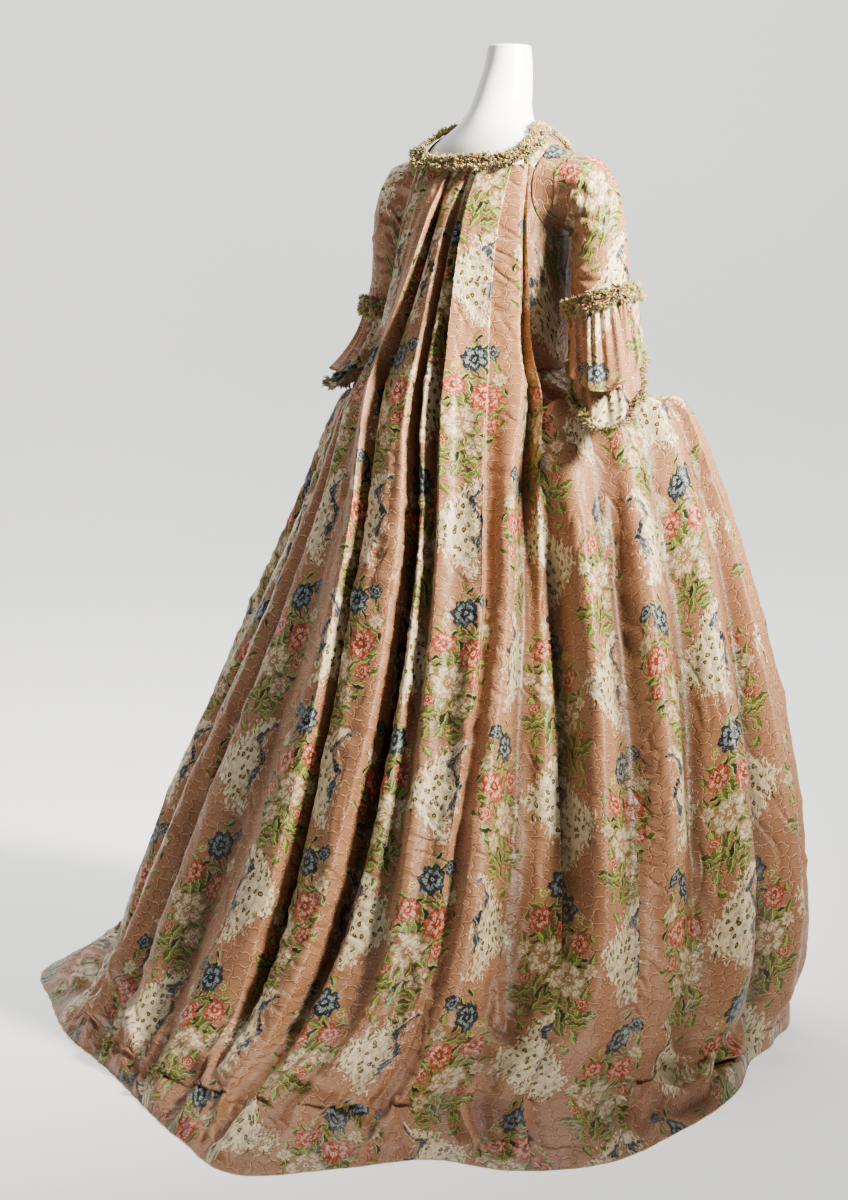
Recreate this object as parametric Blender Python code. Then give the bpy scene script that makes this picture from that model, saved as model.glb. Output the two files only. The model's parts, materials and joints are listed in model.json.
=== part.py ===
"""Robe a la francaise (sack-back gown with train) on a limbless dress form.

Metres, +Z up.  The figure faces -Y, so the train runs out towards +Y, and the wearer's
left is +X.  The origin is on the floor at the middle of the stand's base.

Every cloth piece is a thin wall.  The gown's skirt and sack back hang on one family of
rings (LEVELS, from neck to floor, then HEM_OUTLINE for the cut edge on the floor), and the
fold tables say at which angle each ridge or valley crosses each level and how far it stands
off.  Angles go round the figure from 0 at the centre back, positive to the wearer's left.
"""
import math

import bpy
import numpy as np

# ---------------------------------------------------------------- driving dimensions
WALL = 0.0012            # thickness of every cloth wall
SEAM = 0.0003            # gap left between two sewn pieces
SEAM_TURN = SEAM / 2 / 0.40   # half that gap as an angle, at the hip's radius
LAYER_GAP = 0.0008       # gap between a piece and the one it lies on
WAIST_HEIGHT = 1.020     # waist seam above the floor
FORM_TOP = 1.525         # top of the dress form's neck
FORM_BOTTOM = 0.900      # underside of the torso
POLE_RADIUS = 0.016
BASE_RADIUS = 0.170
BASE_THICK = 0.012
TRAIN_LIFT = 0.0040      # outer face of the train above the floor
FACING_SHOWS = 0.0040    # width of facing seen beyond the hem
FACING_WIDTH = 0.0280

# Rings of the sack back and skirt, in order from the neck seam to the floor.
# height_*: height at the side, centre back and centre front.  half: half width.
# centre: y of the widest place.  back, front: depth from there.  point: 1 is an ellipse,
# more draws the back half in towards a rounded point, as cloth pulled straight from the
# pleats to the hoops is.
LEVELS = (
    # name     height_side _back _front  half  centre  back  front point
    ("neck",   1.335, 1.335, 1.335, 0.150, 0.000, 0.081, 0.080, 1.0),
    ("blade",  1.250, 1.250, 1.250, 0.165, 0.000, 0.125, 0.100, 1.1),
    ("back",   1.150, 1.150, 1.150, 0.180, -0.010, 0.165, 0.110, 1.2),
    ("waist",  1.040, 1.040, 1.040, 0.200, -0.030, 0.220, 0.120, 1.3),
    ("hip",    0.943, 0.943, 0.943, 0.322, -0.060, 0.300, 0.142, 1.4),
    ("flank",  0.800, 0.800, 0.800, 0.380, -0.060, 0.345, 0.190, 1.3),
    ("thigh",  0.630, 0.630, 0.630, 0.442, -0.045, 0.400, 0.240, 1.2),
    ("knee",   0.460, 0.440, 0.460, 0.494, -0.020, 0.455, 0.290, 1.1),
    ("shin",   0.250, 0.230, 0.250, 0.530, 0.000, 0.530, 0.340, 1.0),
    ("ankle",  0.115, 0.095, 0.115, 0.538, 0.020, 0.590, 0.370, 1.0),
    ("floor",  0.032, 0.016, 0.060, 0.515, 0.035, 0.655, 0.385, 1.0),
)
NECK, BACK, WAIST, HIP, THIGH, SHIN, FLOOR, HEM = 0, 2, 3, 4, 6, 8, 10, 11

# Rings of the skirt's side widths above the hip, where they leave the sack and run in over
# the hoops to the waist seam.  Same columns.
SIDE_TOP = (
    ("seam",   1.020, 1.020, 1.020, 0.1284, 0.000, 0.0864, 0.1044, 1.0),
    ("shelf",  0.990, 0.990, 0.990, 0.196, -0.025, 0.165, 0.120, 1.0),
    ("brow",   0.970, 0.970, 0.970, 0.272, -0.050, 0.236, 0.128, 1.2),
)

# The gown's cut edge: direction from the axis, distance out, height of the cloth.
HEM_OUTLINE = (
    # angle reach height
    (-180, 0.385, 0.038),
    (-150, 0.412, 0.034),
    (-125, 0.462, 0.026),
    (-107, 0.496, 0.018),
    (-92, 0.512, 0.013),
    (-80, 0.540, 0.009),
    (-66, 0.640, 0.004),
    (-54, 0.735, 0.004),
    (-43, 0.835, 0.004),
    (-35, 0.845, 0.004),
    (-28, 0.810, 0.004),
    (-20, 0.870, 0.004),
    (-13, 0.930, 0.004),
    (-4, 0.850, 0.004),
    (7, 0.765, 0.004),
    (20, 0.710, 0.004),
    (33, 0.705, 0.004),
    (50, 0.715, 0.004),
    (65, 0.760, 0.004),
    (76, 0.730, 0.004),
    (88, 0.620, 0.008),
    (100, 0.530, 0.016),
    (115, 0.482, 0.024),
    (140, 0.430, 0.032),
    (180, 0.385, 0.038),
)

# How high one layer of pleating stands, and how much of a fold's own relief shows, by level.
PLEAT_HEIGHT = ((NECK, 0.0024), (1, 0.0034), (BACK, 0.0046), (WAIST, 0.0060), (HIP, 0.0050),
                (THIGH, 0.0015), (SHIN, 0.0), (HEM, 0.0))
RELIEF_SHARE = ((NECK, 0.0), (1, 0.05), (BACK, 0.20), (WAIST, 0.45), (HIP, 0.75),
                (THIGH, 1.05), (SHIN, 1.20), (9, 0.85), (FLOOR, 0.55), (HEM, 0.30))

# Fold lines of the sack back, from its left edge to its right edge.  layer: pleat layers
# under the line.  relief: how far it stands out (mm) where it hangs free.  Then its angle
# (degrees) at each level.
SACK_FOLDS = (
    # name               layer relief  neck   back  waist   hip  thigh  shin   hem
    ("left_edge",          0.0,   0,   45.0,  48.0,  50.0,  44.0,  42.0,  44.0,  46.0),
    ("left_under_ridge",   1.3,  20,   41.5,  43.5,  45.0,  37.5,  35.0,  37.0,  39.0),
    ("left_under_valley",  0.2,   2,   30.5,  32.0,  36.0,  31.5,  29.5,  31.0,  33.0),
    ("left_box_outer",     3.2,  22,   33.5,  35.5,  38.5,  30.0,  25.5,  26.0,  27.0),
    ("left_box_crease",    3.2,  10,   20.0,  27.0,  32.0,  23.5,  17.0,  16.0,  16.0),
    ("left_box_inner",     3.2,  24,    6.5,  18.7,  26.6,  17.1,   7.0,   3.0,   2.0),
    ("left_gap_valley",    0.0, -14,    9.0,  20.5,  27.2,  17.0,   6.2,   1.5,   0.0),
    ("strip_a_left",       1.5,  15,    1.0,  11.5,  20.1,  13.0,   3.2,  -1.5,  -3.0),
    ("strip_a_right",      1.5,  18,   -4.5,   3.2,   2.3,  -3.5,  -9.0,  -6.5,  -7.0),
    ("centre_valley",      0.0, -22,   -6.0,  -1.5,  -2.5,  -8.5, -12.4,  -9.3,  -9.0),
    ("strip_b_left",       1.5,  20,   -8.6,  -8.1,  -8.1, -11.2, -15.0, -12.8, -12.5),
    ("strip_b_valley",     0.3,   4,  -14.5, -16.0, -17.2, -16.2, -17.2, -17.0, -17.5),
    ("right_box_left",     3.2,  24,  -11.6, -14.1, -16.2, -17.2, -19.6, -20.0, -20.5),
    ("right_box_crease",   3.2,  16,  -22.5, -23.5, -24.5, -23.0, -23.8, -22.5, -23.5),
    ("right_box_right",    3.2,  25,  -33.5, -31.7, -32.2, -28.5, -28.0, -25.3, -27.0),
    ("right_under_valley", 0.2,  10,  -30.5, -29.0, -31.0, -28.6, -28.6, -26.6, -29.0),
    ("right_under_ridge",  1.3,  24,  -41.5, -44.0, -43.8, -36.1, -32.2, -29.5, -32.0),
    ("side_trough",        0.0, -30,  -43.5, -46.5, -46.5, -39.0, -36.0, -36.5, -38.0),
    ("right_edge",         0.0,   0,  -45.0, -48.0, -49.0, -41.5, -41.0, -44.5, -46.0),
)
SACK_COLUMNS = (NECK, BACK, WAIST, HIP, THIGH, SHIN, HEM)

# Fold lines of the skirt's side widths, from the sack's edge to the gown's front edge.
# tuck: how far the line stands out in the waist pleats (mm).  Angles are for the right
# side; SIDE_SHIFT turns the left side's folds so that the two sides are not twins.
SIDE_FOLDS = (
    # name        tuck relief  seam    hip  thigh   shin    hem
    ("edge",       0.0,   0,  -34.0, -41.5, -41.0, -44.5, -46.0),
    ("ridge_1",    3.0,  16,  -44.0, -46.5, -46.0, -50.0, -50.0),
    ("valley_1",   0.0,  -9,  -51.0, -53.0, -53.0, -57.0, -56.0),
    ("ridge_2",    3.2,  17,  -60.0, -60.0, -60.0, -64.0, -62.0),
    ("valley_2",   0.0,  -7,  -67.0, -67.5, -67.0, -70.0, -68.0),
    ("ridge_3",    3.0,  13,  -76.0, -75.0, -74.5, -77.0, -75.0),
    ("valley_3",   0.0,  -9,  -83.0, -83.5, -82.5, -84.5, -83.0),
    ("ridge_4",    3.2,  12,  -92.0, -92.5, -91.0, -93.0, -92.0),
    ("valley_4",   0.0,  -8,  -99.0, -101., -100., -102., -101.),
    ("ridge_5",    3.0,  11, -109.0, -111., -110., -111., -110.),
    ("valley_5",   0.0,  -7, -117.0, -120., -119., -120., -120.),
    ("ridge_6",    2.6,  10, -128.0, -130., -129., -130., -130.),
    ("valley_6",   0.0,  -5, -138.0, -139., -139., -140., -141.),
    ("ridge_7",    2.2,   8, -149.0, -148., -148., -149., -150.),
    ("front_edge", 0.0,   2, -157.0, -156., -156., -158., -159.),
)
SIDE_COLUMNS = (-3, HIP, THIGH, SHIN, HEM)
SIDE_SHIFT = 2.0
UNDER_SACK = (0.014, 0.014, 0.010, 0.005)   # how far the first folds lie back under the sack
EDGE_DROP = 0.0035       # how far the seam's edge drops where it begins to run under the sack

# Sections of the torso under the bodice, from the top of the neck down.
BODY = (
    # height  half  centre   back  front
    (1.525, 0.0340, -0.046, 0.036, 0.036),
    (1.500, 0.0370, -0.044, 0.040, 0.040),
    (1.460, 0.0430, -0.034, 0.048, 0.045),
    (1.425, 0.0500, -0.022, 0.055, 0.050),
    (1.402, 0.0640, -0.013, 0.060, 0.057),
    (1.386, 0.0880, -0.009, 0.064, 0.064),
    (1.368, 0.1130, -0.006, 0.069, 0.074),
    (1.350, 0.1280, -0.005, 0.073, 0.084),
    (1.325, 0.1340, -0.004, 0.077, 0.096),
    (1.290, 0.1320, -0.002, 0.081, 0.108),
    (1.250, 0.1300, 0.000, 0.085, 0.117),
    (1.200, 0.1320, 0.000, 0.088, 0.121),
    (1.140, 0.1320, 0.000, 0.088, 0.116),
    (1.080, 0.1290, 0.000, 0.086, 0.108),
    (1.020, 0.1260, 0.000, 0.084, 0.102),
    (0.970, 0.1240, 0.000, 0.086, 0.098),
    (0.900, 0.1260, 0.000, 0.092, 0.096),
)
BODICE_OFF = 0.0024      # outer face of the bodice, straps and stomacher above the form

# Neck opening of the gown, from the centre back to the foot of the front edge.
NECKLINE = (
    # angle height
    (0, 1.336), (25, 1.337), (42, 1.346), (58, 1.366), (74, 1.384), (90, 1.390),
    (106, 1.382), (120, 1.358), (132, 1.320), (143, 1.268), (150, 1.210),
    (155, 1.130), (160, 1.026),
)
BODICE_TOP = (
    # angle height, left side: neck seam, shoulder seam, armhole, front
    (18, 1.330), (40, 1.3335), (49, 1.334), (57, 1.322), (65, 1.296), (75, 1.264),
    (87, 1.252), (100, 1.258), (111, 1.284), (118, 1.310), (124, 1.326), (131, 1.308),
    (141, 1.260), (150, 1.204),
)
STOMACHER_PARTED = 0.22   # degrees between the stomacher and the gown's front edge
FRONT_EDGE = ((1.020, 160.0), (1.130, 155.0), (1.204, 150.5))
STRAP_FOOT = ((40, 1.3352), (50, 1.3356), (57, 1.3425), (66, 1.353), (88, 1.364), (106, 1.354),
              (117, 1.337), (124, 1.3267), (127, 1.3267))

# Sleeve rings for each arm, from the shoulder to the elbow.  tilt: how far the ring's axis
# points down from level, in degrees.
SLEEVES = {
    "left": (
        #  x      y       z    tilt  radius
        (0.167, -0.008, 1.297, 25, 0.0500),
        (0.183, -0.009, 1.272, 50, 0.0450),
        (0.190, -0.011, 1.240, 72, 0.0430),
        (0.195, -0.015, 1.200, 80, 0.0425),
        (0.200, -0.021, 1.155, 81, 0.0440),
        (0.207, -0.028, 1.110, 82, 0.0480),
    ),
    "right": (
        (0.167, -0.008, 1.297, 25, 0.0500),
        (0.184, -0.006, 1.272, 50, 0.0455),
        (0.192, -0.002, 1.240, 72, 0.0450),
        (0.203, 0.006, 1.203, 76, 0.0455),
        (0.216, 0.016, 1.163, 76, 0.0460),
        (0.230, 0.026, 1.122, 76, 0.0480),
    ),
}
ARMHOLE = (86.0, 1.310, 36.0, 0.056)   # centre angle, centre height, half angle, half height
FLOUNCE_WAVES = 9
CUFF_WAVES = 12
NECK_WAVES = 24
CUFF_WIDTH = 0.022
NECK_TRIM_WIDTH = 0.019
FRINGE_BACKING = 0.0022   # width of a fringe's backing strip
FRINGE_LOCK = 0.0075      # how far its locks stand out
FRINGE_THICK = 0.0014
FRINGE_PARTED = 0.00045   # gap between the cloth's edge and the backing
LOCK_LEAN = 0.65          # how far a lock leans to the cloth's outer side
LOCK_SPREAD = 0.30        # how much that differs from lock to lock
CUFF_STAND = 0.0095       # height of the cuff band over the sleeve
CUFF_ABOVE = 0.80         # share of the band's width that lies above the sleeve's foot
NECK_STAND = 0.0026       # height of the neck band over the bodice
NECK_OVER_PLEATS = 0.0153   # how much more where it crosses the top of the pleats

SILK = ((0.60, 0.36, 0.26, 1.0), 0.42)
TAN = ((0.52, 0.38, 0.22, 1.0), 0.70)
GOLD = ((0.50, 0.38, 0.10, 1.0), 0.60)
WHITE = ((0.86, 0.86, 0.84, 1.0), 0.35)
STEEL = ((0.10, 0.10, 0.10, 1.0), 0.40)


# ---------------------------------------------------------------- curves and tables
def smooth(knots, values, at):
    """Value at each place of a smooth curve through the knots; values may be rows."""
    knots = np.asarray(knots, float)
    values = np.asarray(values, float)
    at = np.clip(np.asarray(at, float), knots[0], knots[-1])
    slopes = np.gradient(values, knots, axis=0)
    left = np.clip(np.searchsorted(knots, at, side="right") - 1, 0, len(knots) - 2)
    span = knots[left + 1] - knots[left]
    f = (at - knots[left]) / span
    shape = f.shape + (1,) * (values.ndim - 1)
    f, span = f.reshape(shape), span.reshape(shape)
    start, end = values[left], values[left + 1]
    return (start * (1 + 2 * f) * (1 - f) ** 2 + slopes[left] * span * f * (1 - f) ** 2
            + end * f * f * (3 - 2 * f) - slopes[left + 1] * span * f * f * (1 - f))


def table_curve(rows, at):
    """Smooth curve through a two-column table."""
    rows = np.asarray(rows, float)
    return smooth(rows[:, 0], rows[:, 1], at)


def ellipse_ring(sizes, angle):
    """Points of rings whose sizes are height side/back/front, half, centre, back, front, point."""
    height_side, height_back, height_front, half, centre, back, front, point = (
        sizes[..., k] for k in range(8))
    sine, cosine = np.sin(angle), np.cos(angle)
    behind = cosine > 0
    power = np.where(behind, point, 1.0)
    x = half * np.sign(sine) * np.abs(sine) ** power
    y = centre + np.where(behind, back, front) * np.sign(cosine) * np.abs(cosine) ** power
    z = height_side + (np.where(behind, height_back, height_front) - height_side) * cosine ** 2
    return np.stack([x, y, z], axis=-1)


def gown_ring(level, angle):
    """Point of the gown's base surface; level runs from NECK to FLOOR and on to HEM."""
    level, angle = np.broadcast_arrays(np.asarray(level, float), np.asarray(angle, float))
    sizes = np.array([row[1:] for row in LEVELS])
    at = smooth(np.arange(len(sizes)), sizes, np.minimum(level, FLOOR))
    return towards_hem(ellipse_ring(at, angle), level)


def side_ring(level, angle):
    """The same surface for the side widths: above the hip it runs in to the waist seam."""
    level, angle = np.broadcast_arrays(np.asarray(level, float), np.asarray(angle, float))
    sizes = np.array([row[1:] for row in SIDE_TOP + LEVELS[HIP:]])
    knots = np.concatenate([[-3, 0, 2.4], np.arange(HIP, FLOOR + 1)])
    at = smooth(knots, sizes, np.minimum(level, FLOOR))
    return towards_hem(ellipse_ring(at, angle), level)


def towards_hem(point, level):
    """Past the floor ring, run out along the ground to the cut edge."""
    hem = np.array(HEM_OUTLINE)
    direction = np.degrees(np.arctan2(point[..., 0], point[..., 1]))
    reach = smooth(hem[:, 0], hem[:, 1], direction)
    height = np.interp(direction, hem[:, 0], hem[:, 2])
    turn = np.radians(direction)
    edge = np.stack([reach * np.sin(turn), reach * np.cos(turn), height], axis=-1)
    share = np.clip(level - FLOOR, 0.0, 1.0)[..., None]
    return point + (edge - point) * share


def normals_of(grid):
    """Unit normals of a grid of points, rows down and columns across, pointing outward."""
    down = np.gradient(grid, axis=0)
    across = np.gradient(grid, axis=1)
    normal = np.cross(down, across)
    return normal / np.maximum(np.linalg.norm(normal, axis=-1, keepdims=True), 1e-12)


def eased_normals(grid, closed, edge_normal):
    """Normals averaged across neighbouring columns, so that the inner side of a sharp fold
    keeps its order."""
    pad = 2
    if closed:
        grid = np.concatenate([grid[:, -pad:], grid, grid[:, :pad]], axis=1)
    normal = normals_of(grid)
    eased = normal.copy()
    eased[:, 1:-1] = normal[:, 1:-1] * 0.5 + (normal[:, :-2] + normal[:, 2:]) * 0.25
    eased = eased / np.maximum(np.linalg.norm(eased, axis=-1, keepdims=True), 1e-12)
    if closed:
        return eased[:, pad:-pad]
    if edge_normal is not None:
        eased[:, 0], eased[:, -1] = edge_normal
    return eased


def base_normal(ring, level, angle):
    """Outward normal of a ring surface."""
    step = 1e-3
    down = ring(level + step, angle) - ring(level - step, angle)
    round_ = ring(level, angle + step) - ring(level, angle - step)
    normal = np.cross(round_, down)
    length = np.linalg.norm(normal, axis=-1, keepdims=True)
    return normal / np.maximum(length, 1e-12)


def between_folds(values, softness, per_fold):
    """Columns of samples between neighbouring fold lines, with each corner cut off."""
    low, high = values[..., :-1], values[..., 1:]
    shares = np.linspace(softness, 1 - softness, per_fold)
    inner = low[..., None] + (high - low)[..., None] * shares
    inner = inner.reshape(values.shape[:-1] + (-1,))
    return np.concatenate([values[..., :1], inner, values[..., -1:]], axis=-1)


# ---------------------------------------------------------------- objects
def material(name, finish):
    """Principled material with a colour and a roughness."""
    colour, roughness = finish
    made = bpy.data.materials.new(name)
    made.use_nodes = True
    shader = made.node_tree.nodes["Principled BSDF"]
    shader.inputs["Base Color"].default_value = colour
    shader.inputs["Roughness"].default_value = roughness
    shader.inputs["Metallic"].default_value = 0.0
    made.diffuse_color = colour
    return made


def add_object(name, points, faces, finish):
    """Object from points and faces, with its own material."""
    mesh = bpy.data.meshes.new(name)
    mesh.from_pydata([tuple(point) for point in points], [], faces)
    mesh.update()
    made = bpy.data.objects.new(name, mesh)
    bpy.context.scene.collection.objects.link(made)
    made.data.materials.append(material(name + "_finish", finish))
    mesh.shade_smooth()
    return made


def turn_outward(faces, points):
    """Face list with every face reversed when the closed shape is inside out."""
    volume = 0.0
    for face in faces:
        for k in range(1, len(face) - 1):
            a, b, c = (points[face[0]], points[face[k]], points[face[k + 1]])
            volume += float(np.dot(a, np.cross(b, c)))
    return [face[::-1] for face in faces] if volume < 0 else faces


def split_quad(quad, points):
    """Two triangles of a quad, cut along its shorter diagonal."""
    a, b, c, d = quad
    if np.linalg.norm(points[a] - points[c]) <= np.linalg.norm(points[b] - points[d]):
        return [a, b, c], [a, c, d]
    return [a, b, d], [b, c, d]


def wall(name, outer, finish, closed=False, edge_normal=None, inner=None):
    """Thin closed wall: the outer grid, the inner one, and the rims between them.

    Where no inner grid is given it is the outer one moved in by the wall's thickness.
    edge_normal gives the direction of the first and last columns, so that two pieces that
    meet at a seam end in the same plane.
    """
    rows, columns = outer.shape[:2]
    if inner is None:
        inner = outer - eased_normals(outer, closed, edge_normal) * WALL
        inner[..., 2] = np.maximum(inner[..., 2], TRAIN_LIFT - WALL)
    points = np.concatenate([outer.reshape(-1, 3), inner.reshape(-1, 3)])
    half = rows * columns

    def at(row, column, side):
        return side * half + row * columns + column % columns

    faces = []
    spans = columns if closed else columns - 1
    for row in range(rows - 1):
        for column in range(spans):
            quad = [at(row, column, 0), at(row + 1, column, 0),
                    at(row + 1, column + 1, 0), at(row, column + 1, 0)]
            for triangle in split_quad(quad, points):
                faces.append(triangle)
                faces.append([index + half for index in reversed(triangle)])
    for column in range(spans):
        for row, flip in ((0, False), (rows - 1, True)):
            rim = [at(row, column, 0), at(row, column + 1, 0),
                   at(row, column + 1, 1), at(row, column, 1)]
            faces.append(rim[::-1] if flip else rim)
    if not closed:
        for row in range(rows - 1):
            for column, flip in ((0, True), (columns - 1, False)):
                rim = [at(row, column, 0), at(row + 1, column, 0),
                       at(row + 1, column, 1), at(row, column, 1)]
                faces.append(rim[::-1] if flip else rim)
    faces = turn_outward(faces, points)
    return add_object(name, points, faces, finish)


def mirrored(points):
    """The same points on the other side of the figure."""
    return points * np.array([-1.0, 1.0, 1.0])


# ---------------------------------------------------------------- gown: sack and skirt
def relief_at(rows, layer_column, relief_column, levels, layer_table):
    """How far each fold line stands off the base surface at each level."""
    layer = np.array([row[layer_column] for row in rows])
    relief = np.array([row[relief_column] for row in rows]) / 1000.0
    pleat = table_curve(layer_table, levels)[:, None] * layer
    share = table_curve(RELIEF_SHARE, levels)[:, None]
    ground = np.clip((FLOOR - levels) / 2.0, 0.0, 1.0)[:, None]
    hanging = np.where(relief < 0, relief * ground, relief)
    return pleat + share * hanging


def fold_angles(rows, first, columns, levels):
    """Angle of each fold line at each level, in radians."""
    table = np.array([row[first:] for row in rows]).T
    return np.radians(smooth(columns, table, levels))


def hung_grid(ring, levels, angle, lift, softness, per_fold):
    """Points of a folded sheet from its fold lines' angles and stand-off."""
    angle = between_folds(angle, softness, per_fold)
    lift = between_folds(lift, softness, per_fold)
    level = np.broadcast_to(levels[:, None], angle.shape)
    normal = base_normal(ring, level, angle)
    grid = ring(level, angle) + normal * lift[..., None]
    grid[..., 2] = np.maximum(grid[..., 2], TRAIN_LIFT)
    return grid, normal


HUNG_LEVELS = [4, 4.9, 5.9, 6.9, 7.8, 8.5, 9, 9.45, 9.9, 10.4, 11]


def seam_angle(side, levels):
    """Angle of the seam between the sack back and a side width, from the hip down."""
    row = SACK_FOLDS[0] if side > 0 else SACK_FOLDS[-1]
    return np.radians(smooth(SACK_COLUMNS, row[3:], levels))


def sack_back():
    """The pleated back from the neck seam to the end of the train."""
    levels = np.array([0, 0.5, 1, 1.6, 2.2, 2.8, 3.3, 3.7] + HUNG_LEVELS)
    angle = fold_angles(SACK_FOLDS, 3, SACK_COLUMNS, levels)
    angle[:, 0] -= SEAM_TURN
    angle[:, -1] += SEAM_TURN
    lift = relief_at(SACK_FOLDS, 1, 2, levels, PLEAT_HEIGHT)
    grid, normal = hung_grid(gown_ring, levels, angle, lift, 0.14, 2)
    wall("sack_back", grid, SILK, edge_normal=(normal[:, 0], normal[:, -1]))


def side_width(name, side):
    """One side of the gown's skirt; side is -1 for the wearer's right, 1 for the left."""
    levels = np.array([-3, -0.9, 1.6] + HUNG_LEVELS)
    angle = side * -fold_angles(SIDE_FOLDS, 3, SIDE_COLUMNS, levels)
    if side > 0:
        angle = angle + np.radians(SIDE_SHIFT) * np.sin(np.linspace(0, math.pi, len(SIDE_FOLDS)))
    seam = seam_angle(side, np.maximum(levels, HIP)) + side * SEAM_TURN
    loose = np.clip((HIP - levels) / (HIP + 3.0), 0.0, 1.0)
    top_edge = math.radians(SIDE_FOLDS[0][3]) * -side
    angle[:, 0] = seam + (top_edge - seam) * loose
    lift = relief_at(SIDE_FOLDS, 1, 2, np.maximum(levels, HIP), ((NECK, 0.0), (HEM, 0.0)))
    tuck = np.array([row[1] for row in SIDE_FOLDS]) / 1000.0
    lift = lift * (1 - loose[:, None]) + tuck * loose[:, None]
    lift[:, :len(UNDER_SACK)] -= (4 * loose * (1 - loose))[:, None] * np.array(UNDER_SACK)
    lift[:, 0] -= EDGE_DROP * np.interp(levels, (HIP, HUNG_LEVELS[1]), (1.0, 0.0))
    grid, normal = hung_grid(side_ring, levels, angle, lift, 0.2, 2)
    grid[0, :, 2] = WAIST_HEIGHT
    if side > 0:
        grid, normal = grid[:, ::-1], normal[:, ::-1]
        edges = (normals_of(grid)[:, 0], normal[:, -1])
    else:
        edges = (normal[:, 0], normals_of(grid)[:, -1])
    wall(name, grid, SILK, edge_normal=edges)


def hem_facing():
    """Flat strip of facing under the edge of the train, showing just beyond it."""
    angle = np.radians(np.linspace(-72, 84, 40))
    edge = gown_ring(np.full(angle.shape, float(HEM)), angle)
    flat = edge[:, :2]
    out = flat / np.linalg.norm(flat, axis=1, keepdims=True)
    rows = [flat + out * FACING_SHOWS, flat + out * (FACING_SHOWS - FACING_WIDTH)]
    thick = TRAIN_LIFT - WALL - SEAM
    top = np.stack([np.concatenate([row, np.full((len(row), 1), thick)], axis=1)
                    for row in rows])
    bottom = top * np.array([1.0, 1.0, 0.0])
    count = len(angle)
    points = np.concatenate([top.reshape(-1, 3), bottom.reshape(-1, 3)])
    faces = []
    for k in range(count - 1):
        a, b, c, d = k, k + 1, count + k + 1, count + k
        low = 2 * count
        faces += [[a, b, c, d], [low + d, low + c, low + b, low + a],
                  [b, a, low + a, low + b], [d, c, low + c, low + d]]
    for k in (0, count - 1):
        end = [k, count + k, 3 * count + k, 2 * count + k]
        faces.append(end if k == 0 else end[::-1])
    add_object("hem_facing", points, turn_outward(faces, points), TAN)


# ---------------------------------------------------------------- bodice
def body_point(height, angle, off=0.0):
    """Point of the torso's surface at a height and angle, moved out by off."""
    rows = np.array(BODY)[::-1]
    height, angle = np.broadcast_arrays(np.asarray(height, float), np.asarray(angle, float))

    def surface(at_height, at_angle):
        sizes = smooth(rows[:, 0], rows[:, 1:], at_height)
        half, centre, back, front = (sizes[..., k] for k in range(4))
        cosine = np.cos(at_angle)
        y = centre + np.where(cosine > 0, back, front) * cosine
        return np.stack([half * np.sin(at_angle), y, at_height], axis=-1)

    step = 1e-3
    up = surface(height + step, angle) - surface(height - step, angle)
    round_ = surface(height, angle + step) - surface(height, angle - step)
    normal = np.cross(up, round_)
    normal = normal / np.maximum(np.linalg.norm(normal, axis=-1, keepdims=True), 1e-12)
    return surface(height, angle) + normal * np.asarray(off, float)[..., None]


def body_wall(name, height, angle, off, side):
    """Wall that follows the torso, its outer face off by the given distance."""
    outer, inner = body_point(height, angle, off), body_point(height, angle, off - WALL)
    if side < 0:
        outer, inner = mirrored(outer), mirrored(inner)
    wall(name, outer, SILK, inner=inner)


def bodice(name, side):
    """Side back, side and front of the bodice, with the armhole cut into its top."""
    columns, rows = 19, 7
    low, high = 18.0, 150.0
    share = np.linspace(0, 1, rows)[:, None]
    plain = np.linspace(low, high, columns)[None, :]
    top = table_curve(BODICE_TOP, plain[0])[None, :]
    height = top + (WAIST_HEIGHT + SEAM - top) * share
    front = np.interp(height, [row[0] for row in FRONT_EDGE], [row[1] for row in FRONT_EDGE])
    angle = low + (plain - low) * (front - low) / (high - low)
    body_wall(name, height, np.radians(angle), BODICE_OFF, side)


def strap(name, side):
    """Shoulder strap between the armhole and the neck edge."""
    angle = np.linspace(45, 126, 14)[None, :]
    foot = table_curve(STRAP_FOOT, angle[0])
    top = table_curve(NECKLINE, angle[0]) - 0.001
    share = np.linspace(0, 1, 4)[:, None]
    body_wall(name, top + (foot - top) * share, np.radians(angle), BODICE_OFF, side)


def stomacher():
    """Front panel between the gown's front edges, ending in a point below the waist."""
    across = np.linspace(-1, 1, 13)[None, :]
    down = np.linspace(0, 1, 8)[:, None]
    top = 1.206 - 0.002 * np.abs(across)
    bottom = 0.985 + 0.0348 * np.abs(across)
    height = top + (bottom - top) * down
    edge = np.interp(height, [row[0] for row in FRONT_EDGE], [row[1] for row in FRONT_EDGE])
    spread = 180.0 - edge - STOMACHER_PARTED
    angle = np.radians(180.0 + across * spread)
    body_wall("stomacher", height, angle, BODICE_OFF, 1)


# ---------------------------------------------------------------- sleeves
def sleeve_ring(side_name, along, turn, extra=0.0):
    """Point of a sleeve's surface; along is 0 at the shoulder and 1 at the elbow.

    turn is 0 at the front of the arm, 90 degrees outside, 180 behind and 270 inside.
    Also gives the direction down the arm and the direction out from its middle.
    """
    rings = np.array(SLEEVES[side_name])
    at = smooth(np.linspace(0, 1, len(rings)), rings, along)
    tilt = np.radians(at[..., 3])[..., None]
    down = np.concatenate([np.cos(tilt), -0.06 * np.ones_like(tilt), -np.sin(tilt)], axis=-1)
    down = down / np.linalg.norm(down, axis=-1, keepdims=True)
    front = np.array([0.0, -1.0, 0.0]) + down * down[..., 1:2]
    front = front / np.linalg.norm(front, axis=-1, keepdims=True)
    out = np.cross(front, down)
    out = out * np.sign(out[..., 2:3])
    direction = front * np.cos(turn)[..., None] + out * np.sin(turn)[..., None]
    reach = at[..., 4] + extra
    return at[..., :3] + direction * reach[..., None], down, direction


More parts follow.
